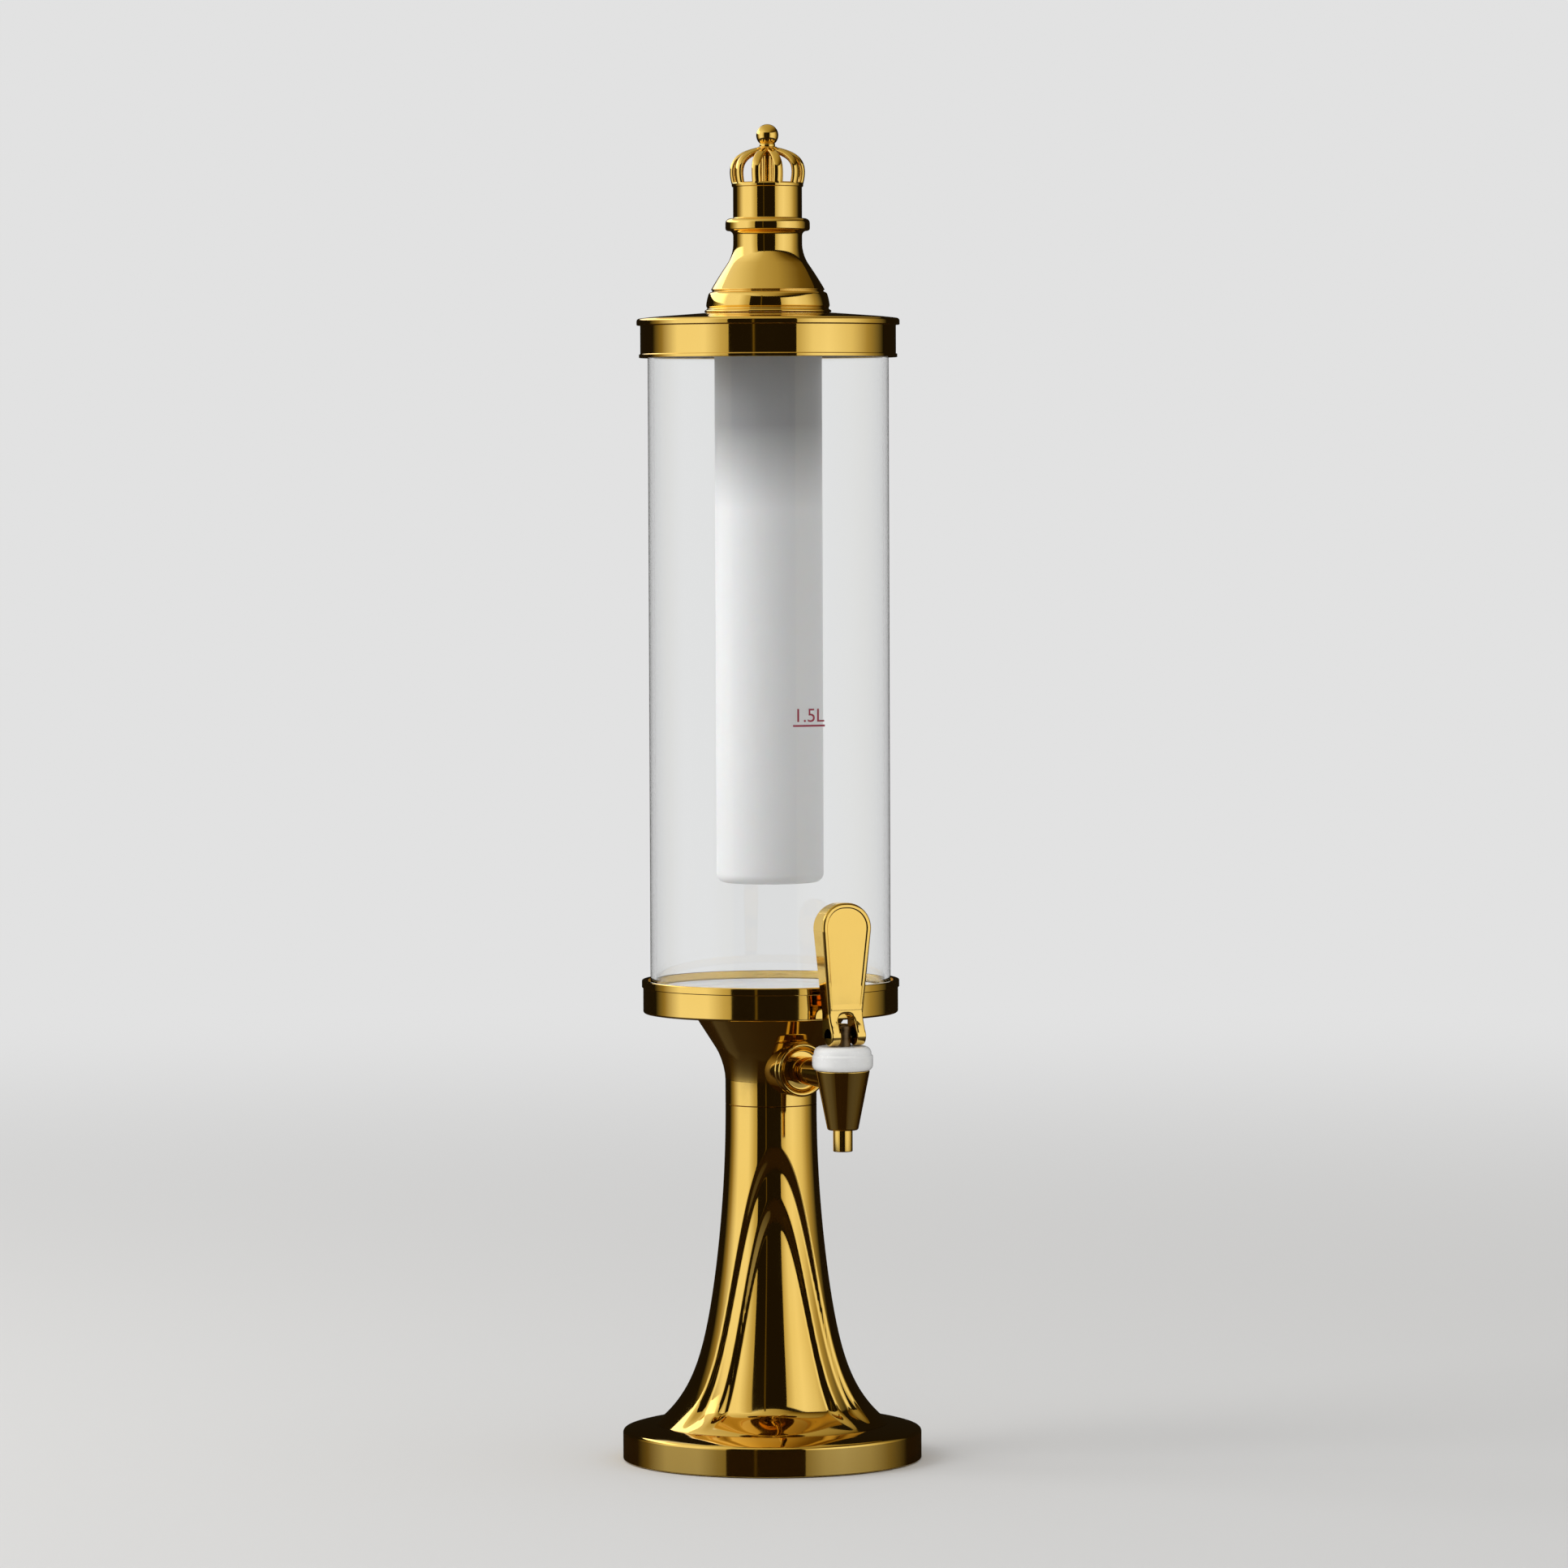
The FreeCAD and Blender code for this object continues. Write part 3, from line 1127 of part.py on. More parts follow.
def finish():
    """Recomputes, tests every object and writes one file for each sub-part."""
    doc.recompute()
    for thing in doc.Objects:
        if "Invalid" in thing.State or "Error" in thing.State:
            raise RuntimeError(f"{thing.Label} failed: {thing.State}")
    for node in nodes:
        if node.Shape.isNull() or not node.Shape.isValid() or not node.Shape.Solids:
            raise RuntimeError(f"{node.Label} has no valid solid")
    os.makedirs("parts", exist_ok=True)
    for node in nodes:
        node.Shape.exportStep(f"parts/{node.Label}.step")
        print(f"{node.Label}: {len(node.Shape.Solids)} solid(s), {node.Shape.Volume / 1000:.2f} cm3")


make_base_disc()
make_base_underside()
make_stem()
make_tie_rod()
make_neck()
make_cup()
make_tube()
make_drain()
make_lid()
make_ice_tube()
make_finial()
make_crown()
make_tap()
make_valve()
make_handle()
finish()
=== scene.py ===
# %% [markdown]
# # A gold beer tower, dressed around its frame
# The tower stands on a heavy round base. A cast stem with two nested arches carries a neck with the
# tap, and a clear tube sits in a gold cup on top of the neck. A gold lid closes the tube and holds a
# frosted tube for ice, and a finial with an open crown plugs the ice tube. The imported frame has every
# piece at its true size, so this script only makes the surfaces that are looked at, and measures the
# frame wherever a size is needed.

# %% The frame
import bmesh
import bpy
import json
import math
from mathutils import Matrix, Vector


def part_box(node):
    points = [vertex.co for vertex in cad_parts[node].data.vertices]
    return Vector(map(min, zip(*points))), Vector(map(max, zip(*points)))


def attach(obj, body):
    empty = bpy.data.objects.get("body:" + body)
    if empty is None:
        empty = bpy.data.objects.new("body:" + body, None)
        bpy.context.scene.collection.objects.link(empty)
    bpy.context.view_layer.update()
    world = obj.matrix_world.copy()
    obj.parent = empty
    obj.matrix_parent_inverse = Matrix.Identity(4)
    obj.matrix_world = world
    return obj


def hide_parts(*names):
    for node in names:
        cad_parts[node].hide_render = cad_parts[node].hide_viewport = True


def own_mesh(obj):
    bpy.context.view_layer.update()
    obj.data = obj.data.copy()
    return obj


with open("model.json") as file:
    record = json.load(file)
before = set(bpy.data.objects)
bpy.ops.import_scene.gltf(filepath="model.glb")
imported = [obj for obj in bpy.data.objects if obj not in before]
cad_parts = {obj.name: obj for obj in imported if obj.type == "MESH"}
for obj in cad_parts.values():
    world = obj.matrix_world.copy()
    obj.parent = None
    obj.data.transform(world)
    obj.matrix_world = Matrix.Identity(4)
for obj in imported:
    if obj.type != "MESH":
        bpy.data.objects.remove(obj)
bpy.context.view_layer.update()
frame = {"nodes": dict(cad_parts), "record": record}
MM = 0.001

# %% [markdown]
# ## Measuring the frame
# A turned piece is known by the radii and heights of its outline. Both can be read from a node of the
# frame: its box gives the lowest and highest level, and the farthest vertex from an upright axis gives
# a radius. Sizes of the tower are in millimetres, as on a workshop drawing. The camera, the lamps and
# the screens of the studio are in metres.

# %% Measures
tap_low, tap_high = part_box("bonnet")
TAP_AXIS = Vector((0, (tap_low.y + tap_high.y) / 2, 0))


def foot(node):
    """Lowest level of a node."""
    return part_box(node)[0].z / MM


def top(node):
    """Highest level of a node."""
    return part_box(node)[1].z / MM


def reach(node, above=-math.inf, below=math.inf, axis=Vector()):
    """Largest distance of a node's vertices from an upright axis, between two levels."""
    spots = [v.co for v in frame["nodes"][node].data.vertices if above <= v.co.z / MM <= below]
    return max((spot - axis).xy.length for spot in spots) / MM


print("tap axis", TAP_AXIS, "cup radius", reach("cup"), "tube radius", reach("beer_tube"))

# %% [markdown]
# ## The camera
# The tower is seen from four metres with a long lens, a little above the middle of its tube and
# from the left of its tap, so upright edges stay almost parallel. The camera looks down by under
# three degrees and leans by a fifth of a degree.

# %% Camera
CAMERA_AZIMUTH = math.radians(-27)
CAMERA_DISTANCE = 4.0
CAMERA_HEIGHT = 0.551
CAMERA_PITCH = math.radians(2.641)
CAMERA_YAW = math.radians(0.11)
CAMERA_LEAN = math.radians(0.22)
LENS = 169.95
SENSOR = 36.0
FAR_CLIP = 100


def make_camera():
    data = bpy.data.cameras.new("camera")
    data.lens = LENS
    data.sensor_width = SENSOR
    camera = bpy.data.objects.new("camera", data)
    bpy.context.scene.collection.objects.link(camera)
    place = Vector((math.sin(CAMERA_AZIMUTH), -math.cos(CAMERA_AZIMUTH), 0)) * CAMERA_DISTANCE
    heading = Matrix.Rotation(CAMERA_AZIMUTH - CAMERA_YAW, 4, "Z")
    tilt = Matrix.Rotation(math.radians(90) - CAMERA_PITCH, 4, "X")
    lean = Matrix.Rotation(-CAMERA_LEAN, 4, "Z")
    camera.matrix_world = Matrix.Translation(place + Vector((0, 0, CAMERA_HEIGHT))) @ heading @ tilt @ lean
    data.clip_end = FAR_CLIP
    return camera


bpy.context.scene.camera = make_camera()
bpy.context.scene.view_settings.view_transform = "Standard"
print("camera at", tuple(round(x, 3) for x in bpy.context.scene.camera.location))

# %% [markdown]
# ## The room and the floor
# The room is an even pale grey that lights everything softly. The floor is plain and pale, and far out
# it fades into the colour of the room, so no horizon shows. The fade mixes two shaders by the distance
# from the tower. That is simpler than a bent backdrop, and it looks the same from every side.

# %% Room and floor
ROOM_COLOUR = (0.76, 0.76, 0.76, 1)
FLOOR_COLOUR = (0.68, 0.675, 0.665, 1)
FLOOR_RADIUS = 9.0
FLOOR_FADE = (0.7, 3.2)
CIRCLE_STEPS = 96


def make_room():
    world = bpy.data.worlds.new("room")
    bpy.context.scene.world = world
    world.use_nodes = True
    world.node_tree.nodes["Background"].inputs["Color"].default_value = ROOM_COLOUR


def floor_finish():
    """Matt pale floor that turns into the room's colour far out."""
    finish = bpy.data.materials.new("pale_floor")
    finish.use_nodes = True
    tree = finish.node_tree
    shader = tree.nodes["Principled BSDF"]
    shader.inputs["Base Color"].default_value = FLOOR_COLOUR
    shader.inputs["Roughness"].default_value = 1.0
    shader.inputs["Specular IOR Level"].default_value = 0.0
    glow = tree.nodes.new("ShaderNodeEmission")
    glow.inputs["Color"].default_value = ROOM_COLOUR
    place = tree.nodes.new("ShaderNodeTexCoord")
    length = tree.nodes.new("ShaderNodeVectorMath")
    length.operation = "LENGTH"
    fade = tree.nodes.new("ShaderNodeMapRange")
    fade.interpolation_type = "SMOOTHSTEP"
    fade.inputs["From Min"].default_value, fade.inputs["From Max"].default_value = FLOOR_FADE
    mix = tree.nodes.new("ShaderNodeMixShader")
    tree.links.new(place.outputs["Object"], length.inputs[0])
    tree.links.new(length.outputs["Value"], fade.inputs["Value"])
    tree.links.new(fade.outputs["Result"], mix.inputs["Fac"])
    tree.links.new(shader.outputs["BSDF"], mix.inputs[1])
    tree.links.new(glow.outputs["Emission"], mix.inputs[2])
    tree.links.new(mix.outputs["Shader"], tree.nodes["Material Output"].inputs["Surface"])
    return finish


def staged(bm, name, finish):
    """Makes a mesh part of the studio, not of the tower."""
    mesh = bpy.data.meshes.new(name)
    bm.to_mesh(mesh)
    bm.free()
    mesh.materials.append(finish)
    piece = bpy.data.objects.new(name, mesh)
    bpy.context.scene.collection.objects.link(piece)
    return piece


make_room()
floor = bmesh.new()
bmesh.ops.create_circle(floor, cap_ends=True, radius=FLOOR_RADIUS, segments=CIRCLE_STEPS)
staged(floor, "floor", floor_finish())
print("floor of", FLOOR_RADIUS, "m, fades from", FLOOR_FADE[0], "to", FLOOR_FADE[1], "m")

# %% [markdown]
# ## Lamps
# One large lamp from the upper left gives the pieces a light side and the floor a soft shadow, and a
# smaller one, farther round on the left, brightens the edge of the ice tube. Round area lamps are used,
# because their size sets how soft a shadow is. Each one is given by its angle from the camera's
# direction, its rise, its distance, its size and its watts.

# %% Lamps
LAMPS = {"soft_lamp": (-68, 42, 2.6, 1.5, 17), "side_lamp": (-108, 32, 2.2, 0.9, 6)}


def camera_direction(angle, rise=0.0):
    """Unit vector that lies an angle to the right of the camera's direction, raised by another angle."""
    turn = CAMERA_AZIMUTH + angle
    return Vector((math.sin(turn) * math.cos(rise), -math.cos(turn) * math.cos(rise), math.sin(rise)))


def make_lamp(name, angle, rise, distance, size, watts):
    """Round lamp that looks at the tower's foot; the gold mirrors screens of its own and not the lamp."""
    data = bpy.data.lights.new(name, "AREA")
    data.shape = "DISK"
    data.size = size
    data.energy = watts
    lamp = bpy.data.objects.new(name, data)
    bpy.context.scene.collection.objects.link(lamp)
    aim = camera_direction(math.radians(angle), math.radians(rise))
    facing = aim.to_track_quat("Z", "Y").to_matrix().to_4x4()
    lamp.matrix_world = Matrix.Translation(aim * distance) @ facing
    lamp.visible_camera = False
    lamp.visible_glossy = False


for lamp_name, lamp_place in LAMPS.items():
    make_lamp(lamp_name, *lamp_place)
print("lamps:", list(LAMPS))

# %% [markdown]
# ## What the gold reflects
# Polished metal has no look of its own: it shows the room. A studio for gold is therefore a dark tent
# with two tall soft panels in it, one on each side, which give the bright bands, while the dark between
# them gives the lines. A panel is brightest in its middle and falls off outwards, and its inner edge is
# cut sharp. A window high up, farther round on the left, gives the white glints on round edges. The
# ceiling is bright on the left and dark on the right, and a black glossy card round the base keeps the
# floor out. All of it is seen in reflections only, so it changes neither the floor nor the look of the
# matt pieces. A screen is lit by its material: a radial gradient gives the angle, and a ramp the light
# at that angle. The light gets warmer as it gets weaker, which keeps the dim parts of the gold rich and
# not green.

# %% Reflection helpers
TENT_RADIUS = 1.7
TENT_HEIGHT = 1.65
SCREEN_STEPS = 64
FULL_TURN = 360
MIDDLE = 0.5
NEUTRAL, WARM, BROWN = (1.0, 1.0, 1.0), (1.0, 1.2, 2.0), (1.0, 1.08, 1.25)


def only_reflected(piece):
    """Hides a studio piece from all but mirrored light."""
    piece.visible_camera = False
    piece.visible_diffuse = False
    piece.visible_glossy = True
    piece.visible_transmission = False
    piece.visible_shadow = False
    piece.visible_volume_scatter = False


def glow_finish(name, gradient, rotation, scale, location, stops, tint):
    """Light along a gradient; stops are (place, brightness), and the tint raises each to a power."""
    finish = bpy.data.materials.new(name)
    finish.use_nodes = True
    tree = finish.node_tree
    tree.nodes.remove(tree.nodes["Principled BSDF"])
    place = tree.nodes.new("ShaderNodeTexCoord")
    mapping = tree.nodes.new("ShaderNodeMapping")
    mapping.inputs["Rotation"].default_value = (0, 0, rotation)
    mapping.inputs["Scale"].default_value = (scale, scale, scale)
    mapping.inputs["Location"].default_value = (location, 0, 0)
    texture = tree.nodes.new("ShaderNodeTexGradient")
    texture.gradient_type = gradient
    ramp = tree.nodes.new("ShaderNodeValToRGB")
    elements = ramp.color_ramp.elements
    while len(elements) < len(stops):
        elements.new(MIDDLE)
    for element, (position, level) in zip(elements, stops):
        element.position = position
        element.color = (*[level ** power for power in tint], 1)
    glow = tree.nodes.new("ShaderNodeEmission")
    tree.links.new(place.outputs["Object"], mapping.inputs["Vector"])
    tree.links.new(mapping.outputs["Vector"], texture.inputs["Vector"])
    tree.links.new(texture.outputs["Fac"], ramp.inputs["Fac"])
    tree.links.new(ramp.outputs["Color"], glow.inputs["Color"])
    tree.links.new(glow.outputs["Emission"], tree.nodes["Material Output"].inputs["Surface"])
    return finish


def around_finish(name, stops, tint):
    """Light that depends on the angle from the camera's direction; stops are (degrees, brightness)."""
    shares = [(MIDDLE + angle / FULL_TURN, level) for angle, level in stops]
    return glow_finish(name, "RADIAL", math.radians(90) - CAMERA_AZIMUTH, 1.0, 0.0, shares, tint)


def curved_screen(name, start, end, low, high, stops, radius=TENT_RADIUS, tint=WARM):
    """Upright screen on a circle round the tower, between two angles from the camera's direction."""
    bm = bmesh.new()
    spot = camera_direction(math.radians(start)) * radius
    edge = [bm.verts.new((spot.x, spot.y, level)) for level in (low, high)]
    line = bm.edges.new(edge)
    bmesh.ops.spin(bm, geom=[*edge, line], cent=(0, 0, 0), axis=(0, 0, 1), steps=SCREEN_STEPS,
                   angle=math.radians(end - start))
    only_reflected(staged(bm, name, around_finish(name, stops, tint)))


print("the tent is", TENT_HEIGHT, "m high, its panels stand", TENT_RADIUS, "m out")

# %% [markdown]
# ### Tent and panels
# Each screen is an upright line that is spun part of the way round the tower. Its list gives the
# brightness at some angles from the camera's direction, where left is negative, and its ends are where
# the screen ends. The tent's wall stands a little behind the panels and the window a little before
# them, so that no two screens lie in one surface. A thin stripe left of the middle draws the fine
# light line in the dark stretch of each round piece.

# %% Tent and panels
TENT_DARK = 0.012
WALL_RADIUS = TENT_RADIUS * 1.05
WINDOW_RADIUS = TENT_RADIUS * 0.97
PANEL_FOOT = 0.01
LEFT_PANEL = [(-126, 0.0), (-110, 0.3), (-88, 1.0), (-58, 1.0), (-42, 0.6), (-35, 0.5)]
RIGHT_PANEL = [(25, 0.55), (40, 0.92), (55, 1.0), (80, 0.8), (100, 0.4), (126, 0.0)]
STRIPE = [(-14, 0.0), (-12.5, 0.16), (-11, 0.0)]
RIGHT_PANEL_HEIGHT = 1.45
WINDOW = [(-168, 0.4), (-150, 2.1), (-100, 2.1), (-88, 1.1)]
WINDOW_LOW, WINDOW_HIGH = 0.95, 1.6

curved_screen("tent_wall", -180, 180, 0, TENT_HEIGHT, [(-180, TENT_DARK), (180, TENT_DARK)],
              radius=WALL_RADIUS, tint=BROWN)
for screen_name, screen_top, light in (("panel_left", TENT_HEIGHT, LEFT_PANEL),
                                       ("panel_right", RIGHT_PANEL_HEIGHT, RIGHT_PANEL),
                                       ("stripe", TENT_HEIGHT, STRIPE)):
    curved_screen(screen_name, light[0][0], light[-1][0], PANEL_FOOT, screen_top, light)
    print(screen_name, "from", light[0][0], "to", light[-1][0], "degrees")
curved_screen("window", WINDOW[0][0], WINDOW[-1][0], WINDOW_LOW, WINDOW_HIGH, WINDOW,
              radius=WINDOW_RADIUS, tint=NEUTRAL)

# %% [markdown]
# ### Ceiling
# A lid, a rim and the top of a base mirror what is above them. So the tent has a round ceiling whose
# light falls off in a straight line from the camera's left to its right.

# %% Ceiling
CEILING = [(0.0, 1.0), (0.2, 0.85), (0.4, 0.55), (0.6, 0.42), (0.8, 0.16), (1.0, 0.03)]

ceiling = bmesh.new()
bmesh.ops.create_circle(ceiling, cap_ends=True, radius=WALL_RADIUS, segments=CIRCLE_STEPS)
bmesh.ops.translate(ceiling, vec=(0, 0, TENT_HEIGHT), verts=ceiling.verts)
only_reflected(staged(ceiling, "tent_ceiling", glow_finish(
    "tent_ceiling", "LINEAR", -CAMERA_AZIMUTH, MIDDLE / TENT_RADIUS, MIDDLE, CEILING, WARM)))
print("ceiling at", TENT_HEIGHT, "m")

# %% [markdown]
# ### Floor card
# The foot of the stem looks down and out, and on a pale floor it would turn pale. A flat ring of glossy
# black card lies just over the floor and starts at the rim of the base. Only mirrored rays meet it, so
# the floor stays bare to the eye and keeps the tower's shadow.

# %% Floor card
CARD_LEVEL = 0.3
CARD_BLACK = (0.026, 0.014, 0.005, 1)
CARD_ROUGHNESS = 0.14
CARD_IOR = 1.25


def card_finish():
    finish = bpy.data.materials.new("black_card")
    finish.use_nodes = True
    shader = finish.node_tree.nodes["Principled BSDF"]
    shader.inputs["Base Color"].default_value = CARD_BLACK
    shader.inputs["Roughness"].default_value = CARD_ROUGHNESS
    shader.inputs["IOR"].default_value = CARD_IOR
    return finish


card = bmesh.new()
card_reach = (reach("base_disc") * MM, WALL_RADIUS)
card_edge = [card.verts.new((radius, 0, CARD_LEVEL * MM)) for radius in card_reach]
bmesh.ops.spin(card, geom=[*card_edge, card.edges.new(card_edge)], cent=(0, 0, 0), axis=(0, 0, 1),
               steps=CIRCLE_STEPS, angle=math.tau, use_merge=True)
only_reflected(staged(card, "floor_card", card_finish()))
print("card from", card_reach[0], "to", card_reach[1], "m")

# %% [markdown]
# ## Finishes
# Every finish is built from the Principled shader with noise on Object coordinates, so it is tied to
# the piece and not to the view. Small helpers keep the node trees short: one starts a finish, one adds
# a noise, one turns the noise into colours, one turns it into numbers, and one makes a bump of it.

# %% Finish helpers
def start_finish(name, colour, roughness, **sockets):
    """New material with a Principled shader; extra sockets are given by name, with _ for a space."""
    finish = bpy.data.materials.new(name)
    finish.use_nodes = True
    shader = finish.node_tree.nodes["Principled BSDF"]
    shader.inputs["Base Color"].default_value = (*colour, 1)
    shader.inputs["Roughness"].default_value = roughness
    for socket, number in sockets.items():
        shader.inputs[socket.replace("_", " ")].default_value = number
    return finish, finish.node_tree, shader


def add_noise(tree, scale, detail=3.0, stretch=(1, 1, 1)):
    """Noise on Object coordinates; a stretch under 1 draws it out along that axis."""
    place = tree.nodes.new("ShaderNodeTexCoord")
    mapping = tree.nodes.new("ShaderNodeMapping")
    mapping.inputs["Scale"].default_value = stretch
    noise = tree.nodes.new("ShaderNodeTexNoise")
    noise.inputs["Scale"].default_value = scale
    noise.inputs["Detail"].default_value = detail
    tree.links.new(place.outputs["Object"], mapping.inputs["Vector"])
    tree.links.new(mapping.outputs["Vector"], noise.inputs["Vector"])
    return noise.outputs["Fac"]


def add_ramp(tree, source, low, high, start=0.3, end=0.7):
    """Colours from low to high as a noise goes from start to end."""
    ramp = tree.nodes.new("ShaderNodeValToRGB")
    first, last = ramp.color_ramp.elements
    first.position, last.position = start, end
    first.color, last.color = (*low, 1), (*high, 1)
    tree.links.new(source, ramp.inputs["Fac"])
    return ramp.outputs["Color"]


def add_range(tree, source, low, high, start=0.3, end=0.7):
    """Numbers from low to high as a noise goes from start to end."""
    scale = tree.nodes.new("ShaderNodeMapRange")
    for socket, number in zip(("From Min", "From Max", "To Min", "To Max"), (start, end, low, high)):
        scale.inputs[socket].default_value = number
    tree.links.new(source, scale.inputs["Value"])
    return scale.outputs["Result"]


def add_bump(tree, shader, source, depth, strength=1.0):
    """Bump of a real depth in metres."""
    bump = tree.nodes.new("ShaderNodeBump")
    bump.inputs["Strength"].default_value = strength
    bump.inputs["Distance"].default_value = depth
    tree.links.new(source, bump.inputs["Height"])
    tree.links.new(bump.outputs["Normal"], shader.inputs["Normal"])


print("finish helpers are ready")

# %% [markdown]
# ### Polished gold
# The cast pieces are buffed and plated. The colour of a metal is its Base Color, and the buffing shows
# as a very low roughness that rises a little in cloudy patches where hands and cloths have been. A
# shallow, wide bump bends long reflections slightly, as hand buffing does.

# %% Gold
GOLD = (0.91, 0.63, 0.175)
GOLD_DEEP = (0.88, 0.585, 0.14)


def gold_finish():
    finish, tree, shader = start_finish("polished_gold", GOLD, 0.07, Metallic=1.0)
    clouds = add_noise(tree, scale=9, detail=4)
    tree.links.new(add_ramp(tree, clouds, GOLD_DEEP, GOLD), shader.inputs["Base Color"])
    wiping = add_noise(tree, scale=55, detail=6, stretch=(1, 1, 0.35))
    tree.links.new(add_range(tree, wiping, low=0.03, high=0.085), shader.inputs["Roughness"])
    add_bump(tree, shader, add_noise(tree, scale=38, detail=1), depth=0.00004, strength=0.4)
    return finish


gold = gold_finish()
print("gold", gold.name)

# %% [markdown]
# ### Clear acrylic
# The tube is polished acrylic, which is clear and bends light a little less than glass does. That is
# full transmission at an IOR of 1.49. Wiping leaves a faint haze in streaks along the tube, so a noise
# that is drawn out along Z lifts the roughness a little.

# %% Clear acrylic
def acrylic_finish():
    finish, tree, shader = start_finish("clear_acrylic", (0.985, 0.99, 0.99), 0.02, IOR=1.49,
                                        Transmission_Weight=1.0)
    haze = add_noise(tree, scale=30, detail=5, stretch=(1, 1, 0.15))
    tree.links.new(add_range(tree, haze, low=0.0, high=0.03, start=0.45), shader.inputs["Roughness"])
    return finish


acrylic = acrylic_finish()
print("acrylic", acrylic.name)

# %% [markdown]
# ### Frosted white
# The ice tube and the floor of the tube are white plastic with a sandblasted skin that lets some light
# into the wall, which is a little subsurface light and a fine grain. The last stretch under the lid has
# the lid's shadow painted on it as grey. The height of a point mixes the white into that painted shade,
# so one finish serves the whole tube.

# %% Frosted white
# Painted shade: the grey near the lid stands for the shadow that the lid casts on the ice tube.
LID_SHADE_DEPTH, WHITE_DEPTH = 36, 82
LID_SHADE_START = (foot("lid") - LID_SHADE_DEPTH) * MM
WHITE_END = (foot("lid") - WHITE_DEPTH) * MM
PAINTED_LID_SHADE = (0.27, 0.27, 0.275)


def add_height(tree, low, high):
    """Share from 0 to 1 as the surface rises from one level to another."""
    place = tree.nodes.new("ShaderNodeTexCoord")
    split = tree.nodes.new("ShaderNodeSeparateXYZ")
    tree.links.new(place.outputs["Object"], split.inputs["Vector"])
    return add_range(tree, split.outputs["Z"], low=0.0, high=1.0, start=low, end=high)


def frosted_finish():
    """White sandblasted skin that turns grey towards the lid, where the lid's shadow is painted on."""
    finish, tree, shader = start_finish("frosted_white", (0.79, 0.79, 0.80), 0.42, IOR=1.46,
                                        Subsurface_Weight=0.1, Subsurface_Scale=0.001)
    tint = add_noise(tree, scale=18, detail=4, stretch=(1, 1, 0.3))
    white = add_ramp(tree, tint, low=(0.76, 0.763, 0.78), high=(0.81, 0.81, 0.815))
    grey = tree.nodes.new("ShaderNodeMix")
    grey.data_type = "RGBA"
    # The grey is painted shade of the lid, mixed in by height.
    grey.inputs["B"].default_value = (*PAINTED_LID_SHADE, 1)
    tree.links.new(add_height(tree, WHITE_END, LID_SHADE_START), grey.inputs["Factor"])
    tree.links.new(white, grey.inputs["A"])
    tree.links.new(grey.outputs["Result"], shader.inputs["Base Color"])
    grain = add_noise(tree, scale=900, detail=2)
    tree.links.new(add_range(tree, grain, low=0.34, high=0.46), shader.inputs["Roughness"])
    add_bump(tree, shader, grain, depth=0.00003, strength=0.5)
    return finish


frosted = frosted_finish()
print("frosted turns grey between", WHITE_END, "and", LID_SHADE_START, "m")

# %% [markdown]
# ### Moulded and painted pieces
# The bonnet of the tap is glossy white moulded plastic, and a thin coat over the colour gives that wet
# shine. Silicone gaskets, the rubber foot, the painted iron and the red print are made by the same
# function, because all of them are one colour with a slight cloud and a grain. Only the colours, the
# roughness and the size of the grain tell them apart.

# %% White, silicone, rubber, iron and print
def moulded_finish(name, low, high, roughness, grain_scale, grain_depth, **sockets):
    """Moulded piece: a slight cloud in its colour, a fine grain in its skin."""
    finish, tree, shader = start_finish(name, high, sum(roughness) / 2, **sockets)
    cloud = add_noise(tree, scale=60, detail=3)
    tree.links.new(add_ramp(tree, cloud, low, high), shader.inputs["Base Color"])
    grain = add_noise(tree, grain_scale, detail=3)
    tree.links.new(add_range(tree, grain, *roughness), shader.inputs["Roughness"])
    add_bump(tree, shader, grain, grain_depth)
    return finish


white = moulded_finish("white_plastic", low=(0.80, 0.80, 0.785), high=(0.87, 0.87, 0.86),
                       roughness=(0.16, 0.3), grain_scale=500, grain_depth=0.00001,
                       Coat_Weight=0.25, Coat_Roughness=0.08)
silicone = moulded_finish("silicone", low=(0.72, 0.745, 0.75), high=(0.80, 0.82, 0.82),
                          roughness=(0.4, 0.55), grain_scale=300, grain_depth=0.00002,
                          Subsurface_Weight=0.2, Subsurface_Scale=0.003)
rubber = moulded_finish("rubber_black", low=(0.018, 0.018, 0.018), high=(0.035, 0.035, 0.034),
                        roughness=(0.6, 0.8), grain_scale=700, grain_depth=0.00006)
iron = moulded_finish("ballast_iron", low=(0.045, 0.045, 0.05), high=(0.09, 0.09, 0.095),
                      roughness=(0.45, 0.65), grain_scale=260, grain_depth=0.0002)
ink = moulded_finish("mark_red", low=(0.24, 0.008, 0.03), high=(0.34, 0.015, 0.045),
                     roughness=(0.4, 0.6), grain_scale=800, grain_depth=0.00001)
print("moulded:", white.name, silicone.name, rubber.name, iron.name, ink.name)

# %% [markdown]
# ### Plain metals
# The rod, the plates and the screws in the base are zinc-plated, the pin is turned stainless steel, and
# the plunger's steel is coloured dark brown. A lathe leaves fine rings, so the noise of a turned piece
# is drawn out along X and Y, while the plating is even all ways.

# %% Plain metals
ALL_WAYS = (1, 1, 1)
IN_RINGS = (0.08, 0.08, 1)


def metal_finish(name, low, high, roughness, stretch):
    """Machined or plated metal, with its tool marks drawn out along one way."""
    finish, tree, shader = start_finish(name, high, sum(roughness) / 2, Metallic=1.0)
    marks = add_noise(tree, scale=420, detail=4, stretch=stretch)
    tree.links.new(add_ramp(tree, marks, low, high), shader.inputs["Base Color"])
    tree.links.new(add_range(tree, marks, *roughness), shader.inputs["Roughness"])
    add_bump(tree, shader, marks, depth=0.00002)
    return finish


